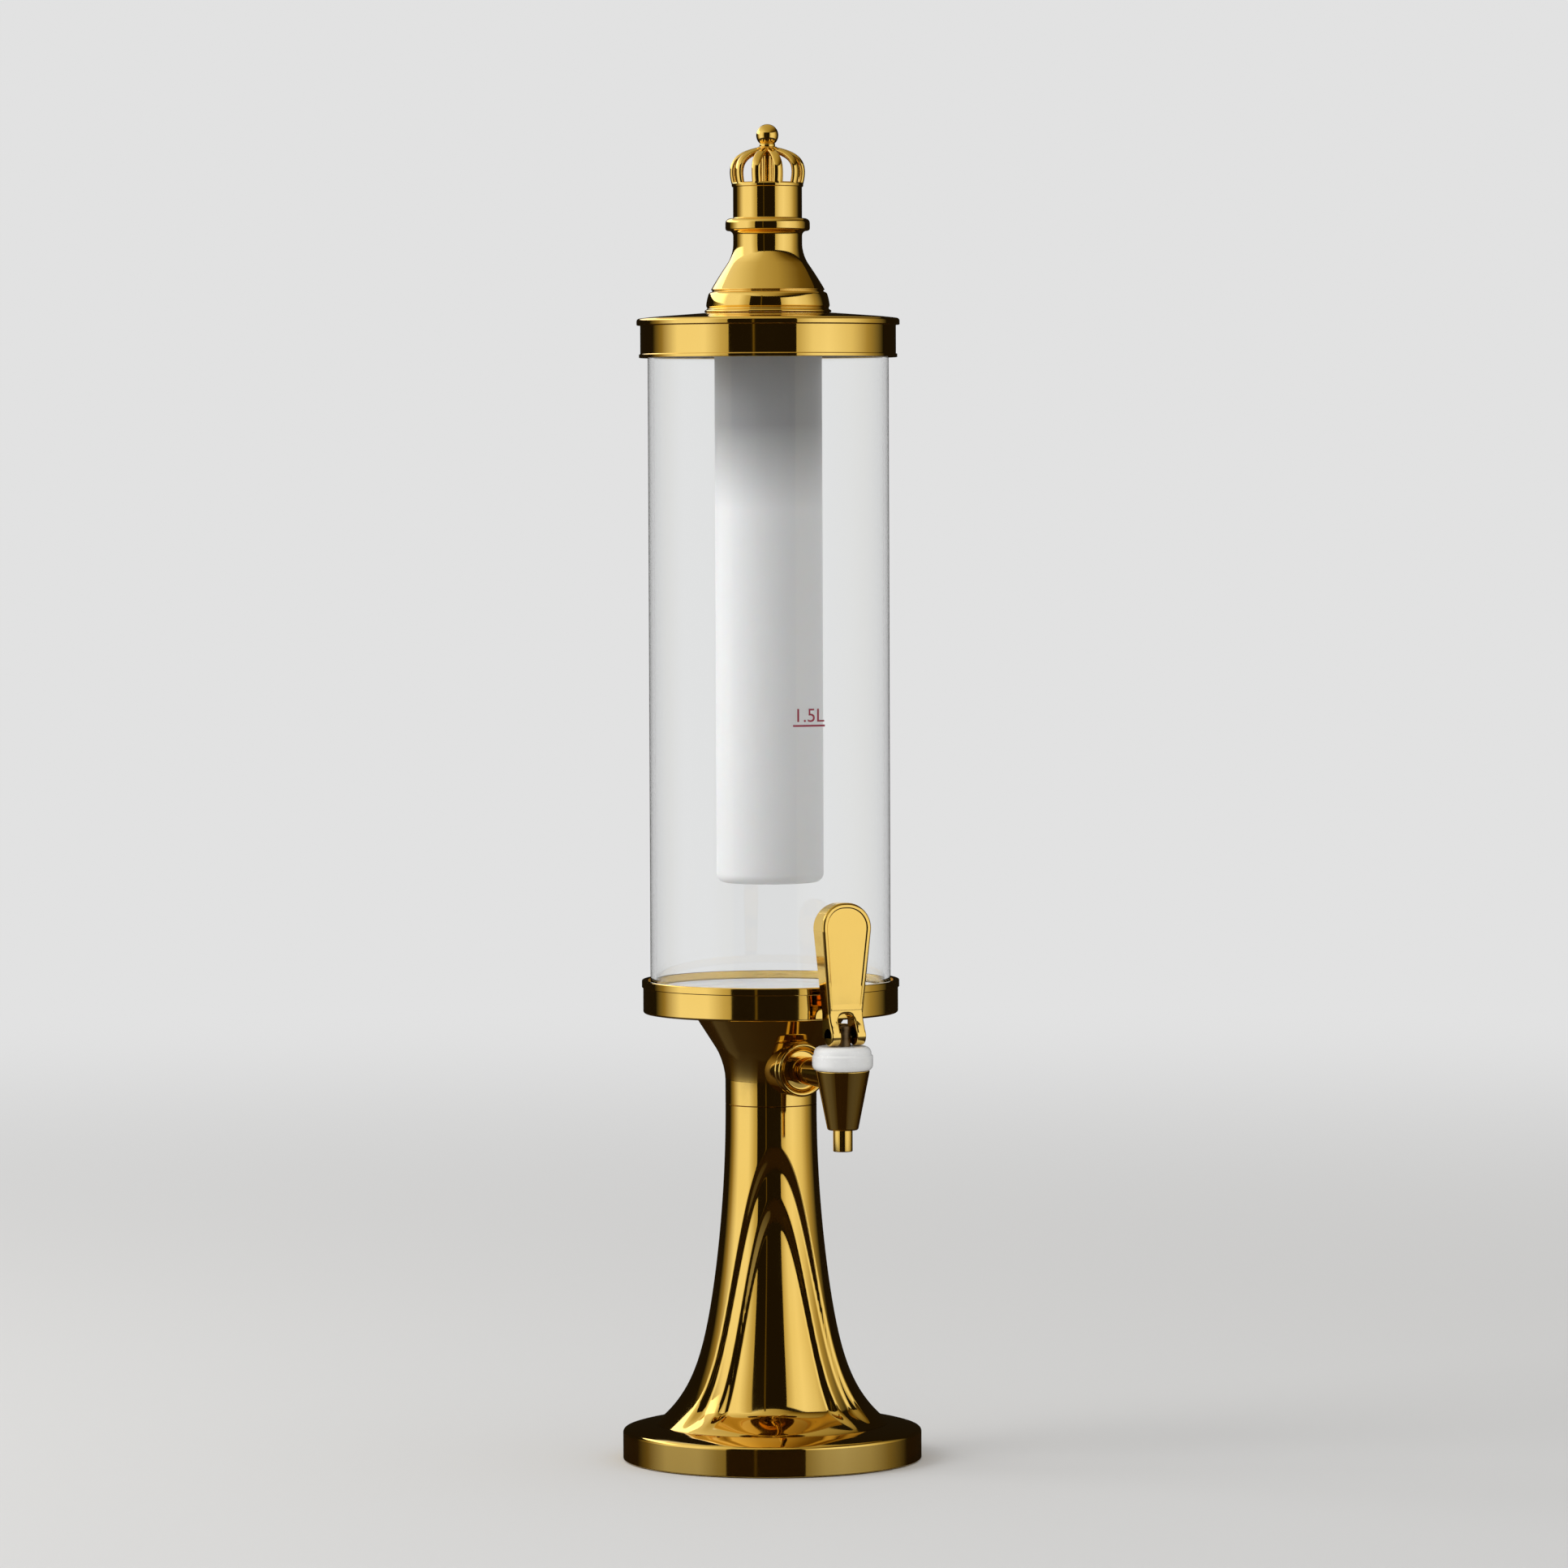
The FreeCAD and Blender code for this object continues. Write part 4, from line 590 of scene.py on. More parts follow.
zinc = metal_finish("zinc_steel", low=(0.50, 0.50, 0.49), high=(0.66, 0.66, 0.63),
                    roughness=(0.3, 0.5), stretch=ALL_WAYS)
steel = metal_finish("stainless", low=(0.60, 0.60, 0.58), high=(0.74, 0.74, 0.72),
                     roughness=(0.14, 0.28), stretch=IN_RINGS)
# The plunger's steel is coloured dark brown all over.
plunger_brown = metal_finish("plunger_brown_steel", low=(0.13, 0.085, 0.045), high=(0.24, 0.165, 0.09),
                     roughness=(0.3, 0.45), stretch=IN_RINGS)
FINISHES = {
    "polished_gold": gold, "clear_acrylic": acrylic, "frosted_white": frosted, "white_plastic": white,
    "silicone": silicone, "rubber_black": rubber, "ballast_iron": iron, "mark_red": ink,
    "zinc_steel": zinc, "stainless": steel,
}
print("finishes:", len(FINISHES))

# %% [markdown]
# ## Finishes on the frame
# The record says which material slot each node has, so every node that stays in view gets its finish
# from there in one loop. The pieces made below then replace the nodes whose surfaces matter most.

# %% Dress the nodes
for subpart in frame["record"]["subparts"]:
    mesh = frame["nodes"][subpart["node"]].data
    mesh.materials.clear()
    mesh.materials.append(FINISHES[subpart["material_slot"]])
SLOT_OF = {subpart["node"]: subpart["material_slot"] for subpart in frame["record"]["subparts"]}
BODY_OF = {node: body for body, nodes in frame["record"]["behaviour"]["bodies"].items() for node in nodes}
print("dressed", len(SLOT_OF), "nodes")

# %% [markdown]
# ## Turning
# Most of the tower is made on a lathe, or looks as if it was. A turned piece is half of its outline,
# spun about an axis. The corners of the outline are rounded first, with a vertex bevel on the bare
# wire, because one rounded corner of the outline becomes a rounded edge all round the piece. The
# outline either starts and ends on the axis, or it is a ring and its ends are joined. Large pieces are
# spun in more steps than small ones, so that no edge looks faceted. GAP is the slack that a part has in
# the hole it fits into.

# %% Lathe
TURN_STEPS, MEDIUM_STEPS, SMALL_STEPS, TINY_STEPS = 160, 128, 96, 64
ROUND_SEGMENTS = 5
MERGE_GAP = 0.001
GAP = 0.05
SHARP_ANGLE = math.radians(38)
UPRIGHT = Matrix.Identity(4)
FORWARD = Matrix.Rotation(math.radians(90), 4, "X")


def turned(outline, steps=TURN_STEPS):
    """Mesh from outline points (radius, level) or (radius, level, rounding), in millimetres."""
    bm = bmesh.new()
    corners = [bm.verts.new((row[0] * MM, 0, row[1] * MM)) for row in outline]
    pairs = list(zip(corners, corners[1:]))
    if outline[0][0] > 0:
        pairs.append((corners[-1], corners[0]))
    for pair in pairs:
        bm.edges.new(pair)
    for corner, row in zip(corners, outline):
        if len(row) == 3:
            bmesh.ops.bevel(bm, geom=[corner], offset=row[2] * MM, offset_type="OFFSET",
                            segments=ROUND_SEGMENTS, profile=0.5, affect="VERTICES", material=-1)
    bmesh.ops.spin(bm, geom=bm.verts[:] + bm.edges[:], cent=(0, 0, 0), axis=(0, 0, 1),
                   angle=math.tau, steps=steps, use_merge=True)
    bmesh.ops.remove_doubles(bm, verts=bm.verts, dist=MERGE_GAP * MM)
    bmesh.ops.recalc_face_normals(bm, faces=bm.faces)
    return bm


def moved(bm, turn=UPRIGHT, to=Vector()):
    """Turns and then shifts a mesh."""
    bmesh.ops.transform(bm, matrix=Matrix.Translation(to) @ turn, verts=bm.verts)
    return bm


def joined(*parts):
    """Puts several meshes into the first one."""
    whole = parts[0]
    for part in parts[1:]:
        spare = bpy.data.meshes.new("spare")
        part.to_mesh(spare)
        part.free()
        whole.from_mesh(spare)
        bpy.data.meshes.remove(spare)
    return whole


def put(bm, name, *nodes, finish=None, sharp=SHARP_ANGLE):
    """Makes a mesh the piece that stands for some nodes: same body, same slot, smooth shading."""
    mesh = bpy.data.meshes.new(name)
    bm.to_mesh(mesh)
    bm.free()
    mesh.shade_smooth()
    mesh.set_sharp_from_angle(angle=sharp)
    mesh.materials.append(finish or FINISHES[SLOT_OF[nodes[0]]])
    piece = bpy.data.objects.new(name, mesh)
    bpy.context.scene.collection.objects.link(piece)
    weights = piece.modifiers.new("even_shading", "WEIGHTED_NORMAL")
    weights.keep_sharp = True
    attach(piece, BODY_OF[nodes[0]])
    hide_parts(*nodes)
    print(f"{name}: {len(mesh.polygons)} faces")
    return piece


# %% [markdown]
# ## Base
# The base is a cast disc with an upright rim. Its top is a very shallow dome that rises to the foot of
# the stem, and the rim meets it in a rounded edge that catches a thin line of light. It is a ring with
# a wall, turned in one go, because the frame keeps the weights and plates that are hidden in it.

# %% Base disc
BASE_RADIUS = reach("base_disc")
BASE_TOP = foot("stem")
RIM_LOW = foot("base_disc")
RIM_TOP = BASE_TOP - 3.5
RIM_ROUNDING = 1.5
DOME_EDGE, DOME_RISE = 6, 1.9
BASE_WALL = 2.5
FOOT_RADIUS = reach("stem")
FOOT_SEAT = FOOT_RADIUS + 1.5
SEAT_WIDTH, SEAT_DROP = 12, 0.4

put(turned([
    (BASE_RADIUS - BASE_WALL, RIM_LOW),
    (BASE_RADIUS, RIM_LOW, 0.6),
    (BASE_RADIUS, RIM_TOP, RIM_ROUNDING),
    (BASE_RADIUS - DOME_EDGE, RIM_TOP + DOME_RISE, 3.5),
    (FOOT_SEAT, BASE_TOP, 0.5),
    (FOOT_SEAT - SEAT_WIDTH, BASE_TOP - SEAT_DROP),
    (FOOT_SEAT - SEAT_WIDTH, BASE_TOP - BASE_WALL),
    (BASE_RADIUS - BASE_WALL, RIM_TOP - BASE_WALL),
]), "base_disc_polished", "base_disc")

# %% [markdown]
# ## Stem
# The stem is a cast trumpet with two pointed arches, one inside the other, sunk into its front and its
# back. Each arch steps the surface in by a few millimetres. Its wall is a long scoop at the tip and
# gets narrow down the sides. Cutting the arches with booleans would leave a hard, uneven wall, so the
# trumpet is spun with a fine grid instead, and its vertices move inwards by a smooth function of their
# place. The function measures how far a point lies inside the arch, which is a quarter ellipse of
# angle against height. Only the outer skin moves, and the inside stays a plain bore.

# %% Trumpet
STEM_LOW, STEM_TOP = foot("stem"), top("stem")
STEM_TOP_RADIUS = reach("neck", above=STEM_TOP, below=STEM_TOP + 5)
SPREAD_SLOW, SPREAD_FAST = 0.55, 0.45
SLOW_POWER, FAST_POWER = 2, 10
STEM_LEVELS, INNER_LEVELS = 210, 16
LEVEL_CROWDING = 1.35
STEM_STEPS = 256
STEM_SHARP = math.radians(60)
STEM_WALL = 7.2
SKIN = 1
ARCH_TURN = math.radians(-22)
ARCH_STEP = 2.4
ARCH_DRAW = 0.26
ARCH_RUNOUT = 10
ARCHES = [(STEM_TOP - 20.8, math.radians(59), 0.085), (STEM_TOP - 47.8, math.radians(44.5), 0.125)]


def spread(level, amount, power):
    """How far a flare has come at a level: nothing at the top, and its whole amount at the foot."""
    drop = (STEM_TOP - level) / (STEM_TOP - STEM_LOW)
    return (FOOT_RADIUS - STEM_TOP_RADIUS) * amount * drop ** power


def foot_spread(level):
    """The sudden flare, which only comes near the foot."""
    return spread(level, SPREAD_FAST, FAST_POWER)


def stem_radius(level):
    """A gentle flare all the way down, and the sudden one on top of it."""
    return STEM_TOP_RADIUS + spread(level, SPREAD_SLOW, SLOW_POWER) + foot_spread(level)


def smooth_step(share):
    """Goes from 0 to 1 with a soft start and a soft end."""
    share = min(max(share, 0.0), 1.0)
    return share * share * (3 - 2 * share)


def arch_depth(angle, level):
    """How far both arches sink the surface, in millimetres."""
    from_middle = abs((angle - ARCH_TURN + math.pi / 2) % math.pi - math.pi / 2)
    depth = 0.0
    for apex, half_angle, scoop in ARCHES:
        across = from_middle / half_angle
        up = (level - STEM_LOW) / (apex - STEM_LOW)
        inside = smooth_step((1 - math.hypot(across, up)) / scoop)
        depth += inside * (ARCH_STEP + ARCH_DRAW * foot_spread(level))
    return depth * smooth_step((level - STEM_LOW) / ARCH_RUNOUT)


height = STEM_TOP - STEM_LOW
shares = [(number / STEM_LEVELS) ** LEVEL_CROWDING for number in range(STEM_LEVELS + 1)]
levels = [STEM_LOW + height * share for share in shares]
inner_levels = [STEM_TOP - height * number / INNER_LEVELS for number in range(INNER_LEVELS + 1)]
outside = [(stem_radius(level), level) for level in levels]
inside = [(stem_radius(level) - foot_spread(level) - STEM_WALL, level) for level in inner_levels]
stem = turned(outside + inside, steps=STEM_STEPS)
for vertex in stem.verts:
    radius = vertex.co.xy.length / MM
    level = vertex.co.z / MM
    if radius > stem_radius(level) - SKIN:
        sunk = radius - arch_depth(math.atan2(vertex.co.x, -vertex.co.y), level)
        vertex.co.xy *= sunk / radius
put(stem, "stem_polished", "stem", sharp=STEM_SHARP)

# %% [markdown]
# ## Neck
# The neck continues the stem, with a fine seam between them, and flares into the underside of the cup.
# A short spigot centres it in the stem. The round boss on its front takes the tap. It is a second
# turned ring, laid on its side, that starts inside the neck, so the two can be joined without a cut.

# %% Neck
NECK_TOP = top("neck")
MOUTH_RADIUS = reach("neck", above=NECK_TOP - 1)
FLARE_LOW = NECK_TOP - 27
NECK_BORE = STEM_TOP_RADIUS - 3
SPIGOT_RADIUS, SPIGOT_BORE = STEM_TOP_RADIUS - 8, STEM_TOP_RADIUS - 10
SEAM = 0.1
TAP_LEVEL = (foot("tap_collar") + top("tap_collar")) / 2
BOSS_RADIUS = (top("tap_collar") - foot("tap_collar")) / 2
BOSS_FACE = -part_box("tap_collar")[1].y / MM
BOSS_START, BOSS_BORE = 16, 7.2
TAP_CENTRE = Vector((0, 0, TAP_LEVEL * MM))

neck = turned([
    (SPIGOT_BORE, STEM_TOP - 6),
    (SPIGOT_RADIUS, STEM_TOP - 6),
    (SPIGOT_RADIUS, STEM_TOP + SEAM),
    (STEM_TOP_RADIUS, STEM_TOP + SEAM, 0.5),
    (STEM_TOP_RADIUS, FLARE_LOW, 9.5),
    (MOUTH_RADIUS, NECK_TOP),
    (MOUTH_RADIUS - 10, NECK_TOP),
    (NECK_BORE, FLARE_LOW),
    (NECK_BORE, STEM_TOP + 3),
    (SPIGOT_BORE, STEM_TOP + 3),
])
boss = turned([
    (BOSS_BORE, BOSS_START),
    (BOSS_RADIUS, BOSS_START),
    (BOSS_RADIUS, BOSS_FACE, 1.2),
    (BOSS_BORE, BOSS_FACE),
], steps=SMALL_STEPS)
moved(boss, FORWARD, TAP_CENTRE)
put(joined(neck, boss), "neck_polished", "neck")

# %% [markdown]
# ## Cup
# The cup is a plain band with a thin raised lip, and it holds the foot of the tube. The lip is under a
# millimetre high, but its small step and its rounded edge give two fine lines that a smooth band
# wouldn't show. Its floor has a hole for the drain.

# %% Cup
CUP_LOW, CUP_TOP = foot("cup"), top("cup")
CUP_LIP = reach("cup")
CUP_RADIUS = CUP_LIP - 0.7
CUP_WALL, CUP_FLOOR = 2.0, 3
LIP_LOW = CUP_TOP - 4
DRAIN_RADIUS = 5.0
DRAIN_HOLE = DRAIN_RADIUS + GAP

put(turned([
    (DRAIN_HOLE, CUP_LOW),
    (CUP_RADIUS, CUP_LOW, 1.2),
    (CUP_RADIUS, LIP_LOW, 0.2),
    (CUP_LIP, LIP_LOW, 0.3),
    (CUP_LIP, CUP_TOP, 0.7),
    (CUP_RADIUS - CUP_WALL, CUP_TOP, 0.5),
    (CUP_RADIUS - CUP_WALL, CUP_LOW + CUP_FLOOR, 0.5),
    (DRAIN_HOLE, CUP_LOW + CUP_FLOOR),
]), "cup_polished", "cup")

# %% [markdown]
# ## Tube
# The tube is a thick-walled ring with softly broken edges. Its wall has a real thickness, because the
# bright and dark lines at a clear tube's edges come from light bending in the wall. Clear plastic lets
# the lamps shine on what is inside, so the tube throws no shadow of its own.

# %% Beer tube
TUBE_LOW, TUBE_TOP = foot("beer_tube"), top("beer_tube")
TUBE_RADIUS = reach("beer_tube")
TUBE_BORE = TUBE_RADIUS - 3
TUBE_STEPS = 192

tube = put(turned([
    (TUBE_BORE, TUBE_LOW, 0.4),
    (TUBE_RADIUS, TUBE_LOW, 0.4),
    (TUBE_RADIUS, TUBE_TOP, 0.5),
    (TUBE_BORE, TUBE_TOP, 0.5),
], steps=TUBE_STEPS), "beer_tube_clear", "beer_tube")
tube.visible_shadow = False

# %% [markdown]
# ## Floor of the tube and drain
# The white floor inside the tube slopes to the drain and has two fine moulded rings. Each ring is three
# points of the outline with a rounded top, so one small function makes both. The drain fitting is a
# bush with a flat head that is sunk in the floor.

# %% Tube floor and drain
FLOOR_LOW, FLOOR_TOP = foot("tube_floor"), top("tube_floor")
FLOOR_REACH = reach("tube_floor")
DISH = FLOOR_TOP - 1
FLOOR_WALL = 2
DRAIN_TOP = top("drain_fitting")
DRAIN_HEAD = 10.0
DRAIN_RECESS = DRAIN_HEAD + 0.1
DRAIN_SEAT = DRAIN_TOP - 2
DRAIN_LOW = foot("drain_fitting")
DRAIN_BORE = 3.6


def moulded_ring(radius, level):
    """Outline of a fine ring that stands on the floor."""
    return [(radius + 1, level), (radius, level + 0.5, 0.2), (radius - 1, level - 0.05)]


put(turned([
    (DRAIN_HOLE, FLOOR_LOW),
    (DRAIN_HEAD + FLOOR_WALL, FLOOR_LOW),
    (DRAIN_HEAD + FLOOR_WALL, DISH - 4),
    (FLOOR_REACH - FLOOR_WALL, DISH - 2.5),
    (FLOOR_REACH - FLOOR_WALL, FLOOR_LOW),
    (FLOOR_REACH, FLOOR_LOW),
    (FLOOR_REACH, FLOOR_TOP, 0.4),
    (FLOOR_REACH - FLOOR_WALL, FLOOR_TOP, 0.4),
    (FLOOR_REACH - 4, DISH, 0.6),
    *moulded_ring(45, DISH - 0.35),
    *moulded_ring(27, DISH - 0.85),
    (DRAIN_RECESS, DISH - 1.5, 0.4),
    (DRAIN_RECESS, DRAIN_SEAT),
    (DRAIN_HOLE, DRAIN_SEAT),
]), "tube_floor_white", "tube_floor")

put(turned([
    (DRAIN_BORE, DRAIN_LOW),
    (DRAIN_RADIUS, DRAIN_LOW, 0.3),
    (DRAIN_RADIUS, DRAIN_SEAT),
    (DRAIN_HEAD, DRAIN_SEAT),
    (DRAIN_HEAD, DRAIN_TOP, 0.6),
    (DRAIN_BORE, DRAIN_TOP, 0.6),
], steps=TINY_STEPS), "drain_fitting_turned", "drain_fitting")

# %% [markdown]
# ## Ice tube
# The ice tube is a long frosted cup that hangs in the lid by its flange. Its outline starts and ends on
# the axis, once outside and once inside, which gives it a closed foot and a wall with a real thickness.

# %% Ice tube
ICE_LOW, ICE_TOP = foot("ice_tube"), top("ice_tube")
ICE_FLANGE = reach("ice_tube")
ICE_RADIUS = ICE_FLANGE - 2.5
ICE_SEAT = ICE_TOP - 2
ICE_WALL = 1.5

put(turned([
    (0, ICE_LOW),
    (ICE_RADIUS, ICE_LOW, 5.0),
    (ICE_RADIUS, ICE_SEAT),
    (ICE_FLANGE, ICE_SEAT, 0.3),
    (ICE_FLANGE, ICE_TOP, 0.4),
    (ICE_RADIUS - ICE_WALL, ICE_TOP, 0.4),
    (ICE_RADIUS - ICE_WALL, ICE_LOW + ICE_WALL, 3.5),
    (0, ICE_LOW + ICE_WALL),
], steps=MEDIUM_STEPS), "ice_tube_frosted", "ice_tube")

# %% [markdown]
# ## Lid
# The lid has an upright skirt with a thin lip at its lower edge, a wider flange above, and a low dome
# that carries the finial. A dome this low mirrors every bend of its outline, so it rises in two flat
# cones with a wide rounding between them.

# %% Lid
LID_LOW, LID_TOP = foot("lid"), top("lid")
LID_FLANGE = reach("lid")
LID_RADIUS = LID_FLANGE - 2
LID_SHOULDER = LID_TOP - 3
FLANGE_LOW = LID_SHOULDER - 3.5
LID_CEILING = top("ice_tube_nut")
LID_WALL = 2.0
LID_LIP, LIP_HEIGHT = 0.7, 2
FINIAL_FOOT = reach("finial")

put(turned([
    (LID_RADIUS - LID_WALL, LID_LOW, 0.3),
    (LID_RADIUS + LID_LIP, LID_LOW, 0.4),
    (LID_RADIUS + LID_LIP, LID_LOW + LIP_HEIGHT, 0.4),
    (LID_RADIUS, LID_LOW + LIP_HEIGHT, 0.2),
    (LID_RADIUS, FLANGE_LOW, 0.4),
    (LID_FLANGE, FLANGE_LOW, 0.5),
    (LID_FLANGE, LID_SHOULDER, 1.4),
    (LID_FLANGE - 7, LID_SHOULDER + 0.9, 5),
    (FINIAL_FOOT + 1, LID_TOP, 1.5),
    (ICE_FLANGE + GAP, LID_TOP, 0.3),
    (ICE_FLANGE + GAP, ICE_SEAT),
    (ICE_RADIUS + GAP, ICE_SEAT),
    (ICE_RADIUS + GAP, LID_CEILING),
    (LID_RADIUS - LID_WALL, LID_CEILING),
]), "lid_polished", "lid")

# %% [markdown]
# ## Finial
# The finial is turned: a foot with a cove, a step ring, a bell, and a column with a bead that has a
# cove of its own. Large roundings in its outline make the coves and the swell of the bell, so the
# profile needs only the points where a turner would change the tool.

# %% Finial
FINIAL_LOW, COLUMN_TOP = foot("finial"), top("finial")
RING_LOW = FINIAL_LOW + 3
RING_TOP = RING_LOW + 8
RING_RADIUS = FINIAL_FOOT - 2
RING_SPREAD = 1.2
BELL_RADIUS = FINIAL_FOOT - 3.4
BELL_LOW = RING_TOP + 1
BELL_TOP = BELL_LOW + 19.5
COLUMN_RADIUS = reach("finial", above=COLUMN_TOP - 1)
BEAD_LOW = BELL_TOP + 9.7
BEAD_TOP = BEAD_LOW + 9.4
BEAD_COVE = 2.7
BEAD_RADIUS = COLUMN_RADIUS + 4.2
FINIAL_BORE = FINIAL_FOOT - 8.9
COLUMN_WALL = 2.5
SCREW_HOLE = 5

put(turned([
    (FINIAL_BORE, FINIAL_LOW),
    (FINIAL_FOOT, FINIAL_LOW, 0.4),
    (FINIAL_FOOT, FINIAL_LOW + 1.1, 0.5),
    (RING_RADIUS + 0.2, FINIAL_LOW + 2.1, 0.9),
    (RING_RADIUS + RING_SPREAD, RING_LOW + 0.3, 0.7),
    (RING_RADIUS + 0.9, RING_LOW + 3.6, 2.6),
    (RING_RADIUS - 0.5, RING_TOP, 1.3),
    (BELL_RADIUS - 0.7, RING_TOP + 0.1, 0.2),
    (BELL_RADIUS - 0.7, BELL_LOW, 0.2),
    (BELL_RADIUS, BELL_LOW + 0.1, 0.5),
    (BELL_RADIUS - 3.7, BELL_LOW + 6.5, 5.5),
    (COLUMN_RADIUS, BELL_TOP - 0.4, 5.5),
    (COLUMN_RADIUS, BEAD_LOW + BEAD_COVE, 2.6),
    (BEAD_RADIUS, BEAD_LOW + BEAD_COVE, 1.4),
    (BEAD_RADIUS, BEAD_TOP, 2.6),
    (COLUMN_RADIUS, BEAD_TOP, 0.5),
    (COLUMN_RADIUS, COLUMN_TOP),
    (SCREW_HOLE, COLUMN_TOP),
    (SCREW_HOLE, COLUMN_TOP - COLUMN_WALL),
    (COLUMN_RADIUS - COLUMN_WALL, COLUMN_TOP - COLUMN_WALL),
    (COLUMN_RADIUS - COLUMN_WALL, BELL_TOP),
    (FINIAL_BORE, RING_TOP),
], steps=MEDIUM_STEPS), "finial_polished", "finial")

# %% [markdown]
# ## Crown
# The crown on top of the finial is open. Ten straps bulge out from a band and run together in a hub
# round a post. A strap starts as an oval, and its edge is extruded along a bent line in short steps,
# each with the tilt that the line has there. It is made once for each place and turned into it.

# %% Crown
BAND_RADIUS = COLUMN_RADIUS + 0.7
BAND_TOP = COLUMN_TOP + 2.5
BAND_BORE = BAND_RADIUS - 3.2
CROWN_TOP = top("crown") - 1.3
STRAP_COUNT = 10
STRAP_TURN = math.radians(-10)
STRAP_HALF_WIDTH = 2.5
STRAP_HALF_THICKNESS = 1.6
STRAP_LINE = [(BAND_RADIUS - 1.7, COLUMN_TOP + 1.2), (BAND_RADIUS + 1.6, BAND_TOP + 10.5),
              (BAND_RADIUS - 2.6, CROWN_TOP - 3.4), (5.4, CROWN_TOP - 0.8)]
STRAP_CUTS = 22
STRAP_PROBE = 0.01
OVAL_SEGMENTS = 16
POST_RADIUS = 4.1
HUB_LOW, HUB_TOP = CROWN_TOP - 4, CROWN_TOP + 1.3


def curve_point(share):
    """Point of the strap's middle line, a cubic Bezier curve in the plane (radius, level)."""
    weights = [(1 - share) ** 3, 3 * share * (1 - share) ** 2, 3 * share ** 2 * (1 - share), share ** 3]
    return sum((weight * Vector(spot) for weight, spot in zip(weights, STRAP_LINE)), Vector((0, 0)))


def strap_frame(share):
    """Place and tilt of the strap's oval at a share of its length."""
    here = curve_point(share)
    along = curve_point(min(share + STRAP_PROBE, 1.0)) - curve_point(max(share - STRAP_PROBE, 0.0))
    tilt = Matrix.Rotation(math.atan2(along.x, along.y), 4, "Y")
    return Matrix.Translation((here.x * MM, 0, here.y * MM)) @ tilt


def make_strap():
    bm = bmesh.new()
    oval = bmesh.ops.create_circle(bm, cap_ends=False, radius=MM, segments=OVAL_SEGMENTS)["verts"]
    bmesh.ops.scale(bm, vec=(STRAP_HALF_THICKNESS, STRAP_HALF_WIDTH, 1), verts=oval)
    bmesh.ops.transform(bm, matrix=strap_frame(0), verts=oval)
    edges = bm.edges[:]
    for number in range(STRAP_CUTS):
        before, after = strap_frame(number / STRAP_CUTS), strap_frame((number + 1) / STRAP_CUTS)
        grown = bmesh.ops.extrude_edge_only(bm, edges=edges)["geom"]
        verts = [item for item in grown if isinstance(item, bmesh.types.BMVert)]
        edges = [item for item in grown if isinstance(item, bmesh.types.BMEdge)]
        bmesh.ops.transform(bm, matrix=after @ before.inverted(), verts=verts)
    bmesh.ops.holes_fill(bm, edges=bm.edges)
    bmesh.ops.recalc_face_normals(bm, faces=bm.faces)
    return bm


band = turned([
    (BAND_BORE, COLUMN_TOP),
    (BAND_RADIUS, COLUMN_TOP, 0.6),
    (BAND_RADIUS, BAND_TOP, 0.9),
    (BAND_BORE, BAND_TOP, 0.6),
], steps=MEDIUM_STEPS)
hub = turned([
    (POST_RADIUS + GAP, HUB_LOW),
    (POST_RADIUS + 2.0, HUB_LOW),
    (POST_RADIUS + 2.8, CROWN_TOP - 0.9, 1.0),
    (POST_RADIUS + 0.9, HUB_TOP, 0.8),
    (POST_RADIUS + GAP, HUB_TOP),
], steps=TINY_STEPS)
straps = []
for number in range(STRAP_COUNT):
    turn = STRAP_TURN - math.pi / 2 + math.tau * number / STRAP_COUNT
    straps.append(moved(make_strap(), Matrix.Rotation(turn, 4, "Z")))
put(joined(band, hub, *straps), "crown_polished", "crown")

# %% [markdown]
# ## Ball and post
# A ball closes the crown. It sits on a thin post that stands in the middle of the crown and can be seen
# between the straps. A sphere and a turned pin are joined, because the two are one part.

# %% Ball and post
BALL_RADIUS = 6.0
BALL_ROUND, BALL_TALL = 48, 32
BALL_CENTRE = top("crown_ball") - BALL_RADIUS
POST_END = BALL_CENTRE - 4.4
ball = bmesh.new()
bmesh.ops.create_uvsphere(ball, u_segments=BALL_ROUND, v_segments=BALL_TALL, radius=BALL_RADIUS * MM)
moved(ball, to=Vector((0, 0, BALL_CENTRE * MM)))
post = turned([
    (0, COLUMN_TOP),
    (POST_RADIUS, COLUMN_TOP, 0.3),
    (POST_RADIUS, CROWN_TOP, 1.0),
    (POST_RADIUS + 0.2, POST_END + 0.2, 1.0),
    (0, POST_END),
], steps=TINY_STEPS)
put(joined(ball, post), "crown_ball_polished", "crown_ball")

# %% [markdown]
# ## Collar of the tap
# A ring like a small dish closes the hole in the boss. It is turned as all rings are, and then laid
# forward, so that its axis points at the drinker.

# %% Collar
COLLAR_OUT = -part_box("tap_collar")[0].y / MM
COLLAR_BORE = 7.05
COLLAR_DISH = COLLAR_OUT - 2.4
SHANK_RADIUS = 7.6

put(moved(turned([
    (COLLAR_BORE, BOSS_FACE),
    (BOSS_RADIUS, BOSS_FACE, 0.6),
    (BOSS_RADIUS, COLLAR_OUT, 1.1),
    (BOSS_RADIUS - 2.2, COLLAR_OUT, 1.0),
    (BOSS_RADIUS - 3.6, COLLAR_OUT - 2.6, 1.2),
    (SHANK_RADIUS, COLLAR_DISH),
    (COLLAR_BORE, COLLAR_DISH),
], steps=SMALL_STEPS), FORWARD, TAP_CENTRE), "tap_collar_polished", "tap_collar")

# %% [markdown]
# ## Body of the tap
# The body is a slim cone on a short tube, the shank, that comes out of the collar. The two are turned
# about different axes and joined. The cone is hollow down to its tip, because the valve works inside
# it, and the narrow tip below is a piece of its own.

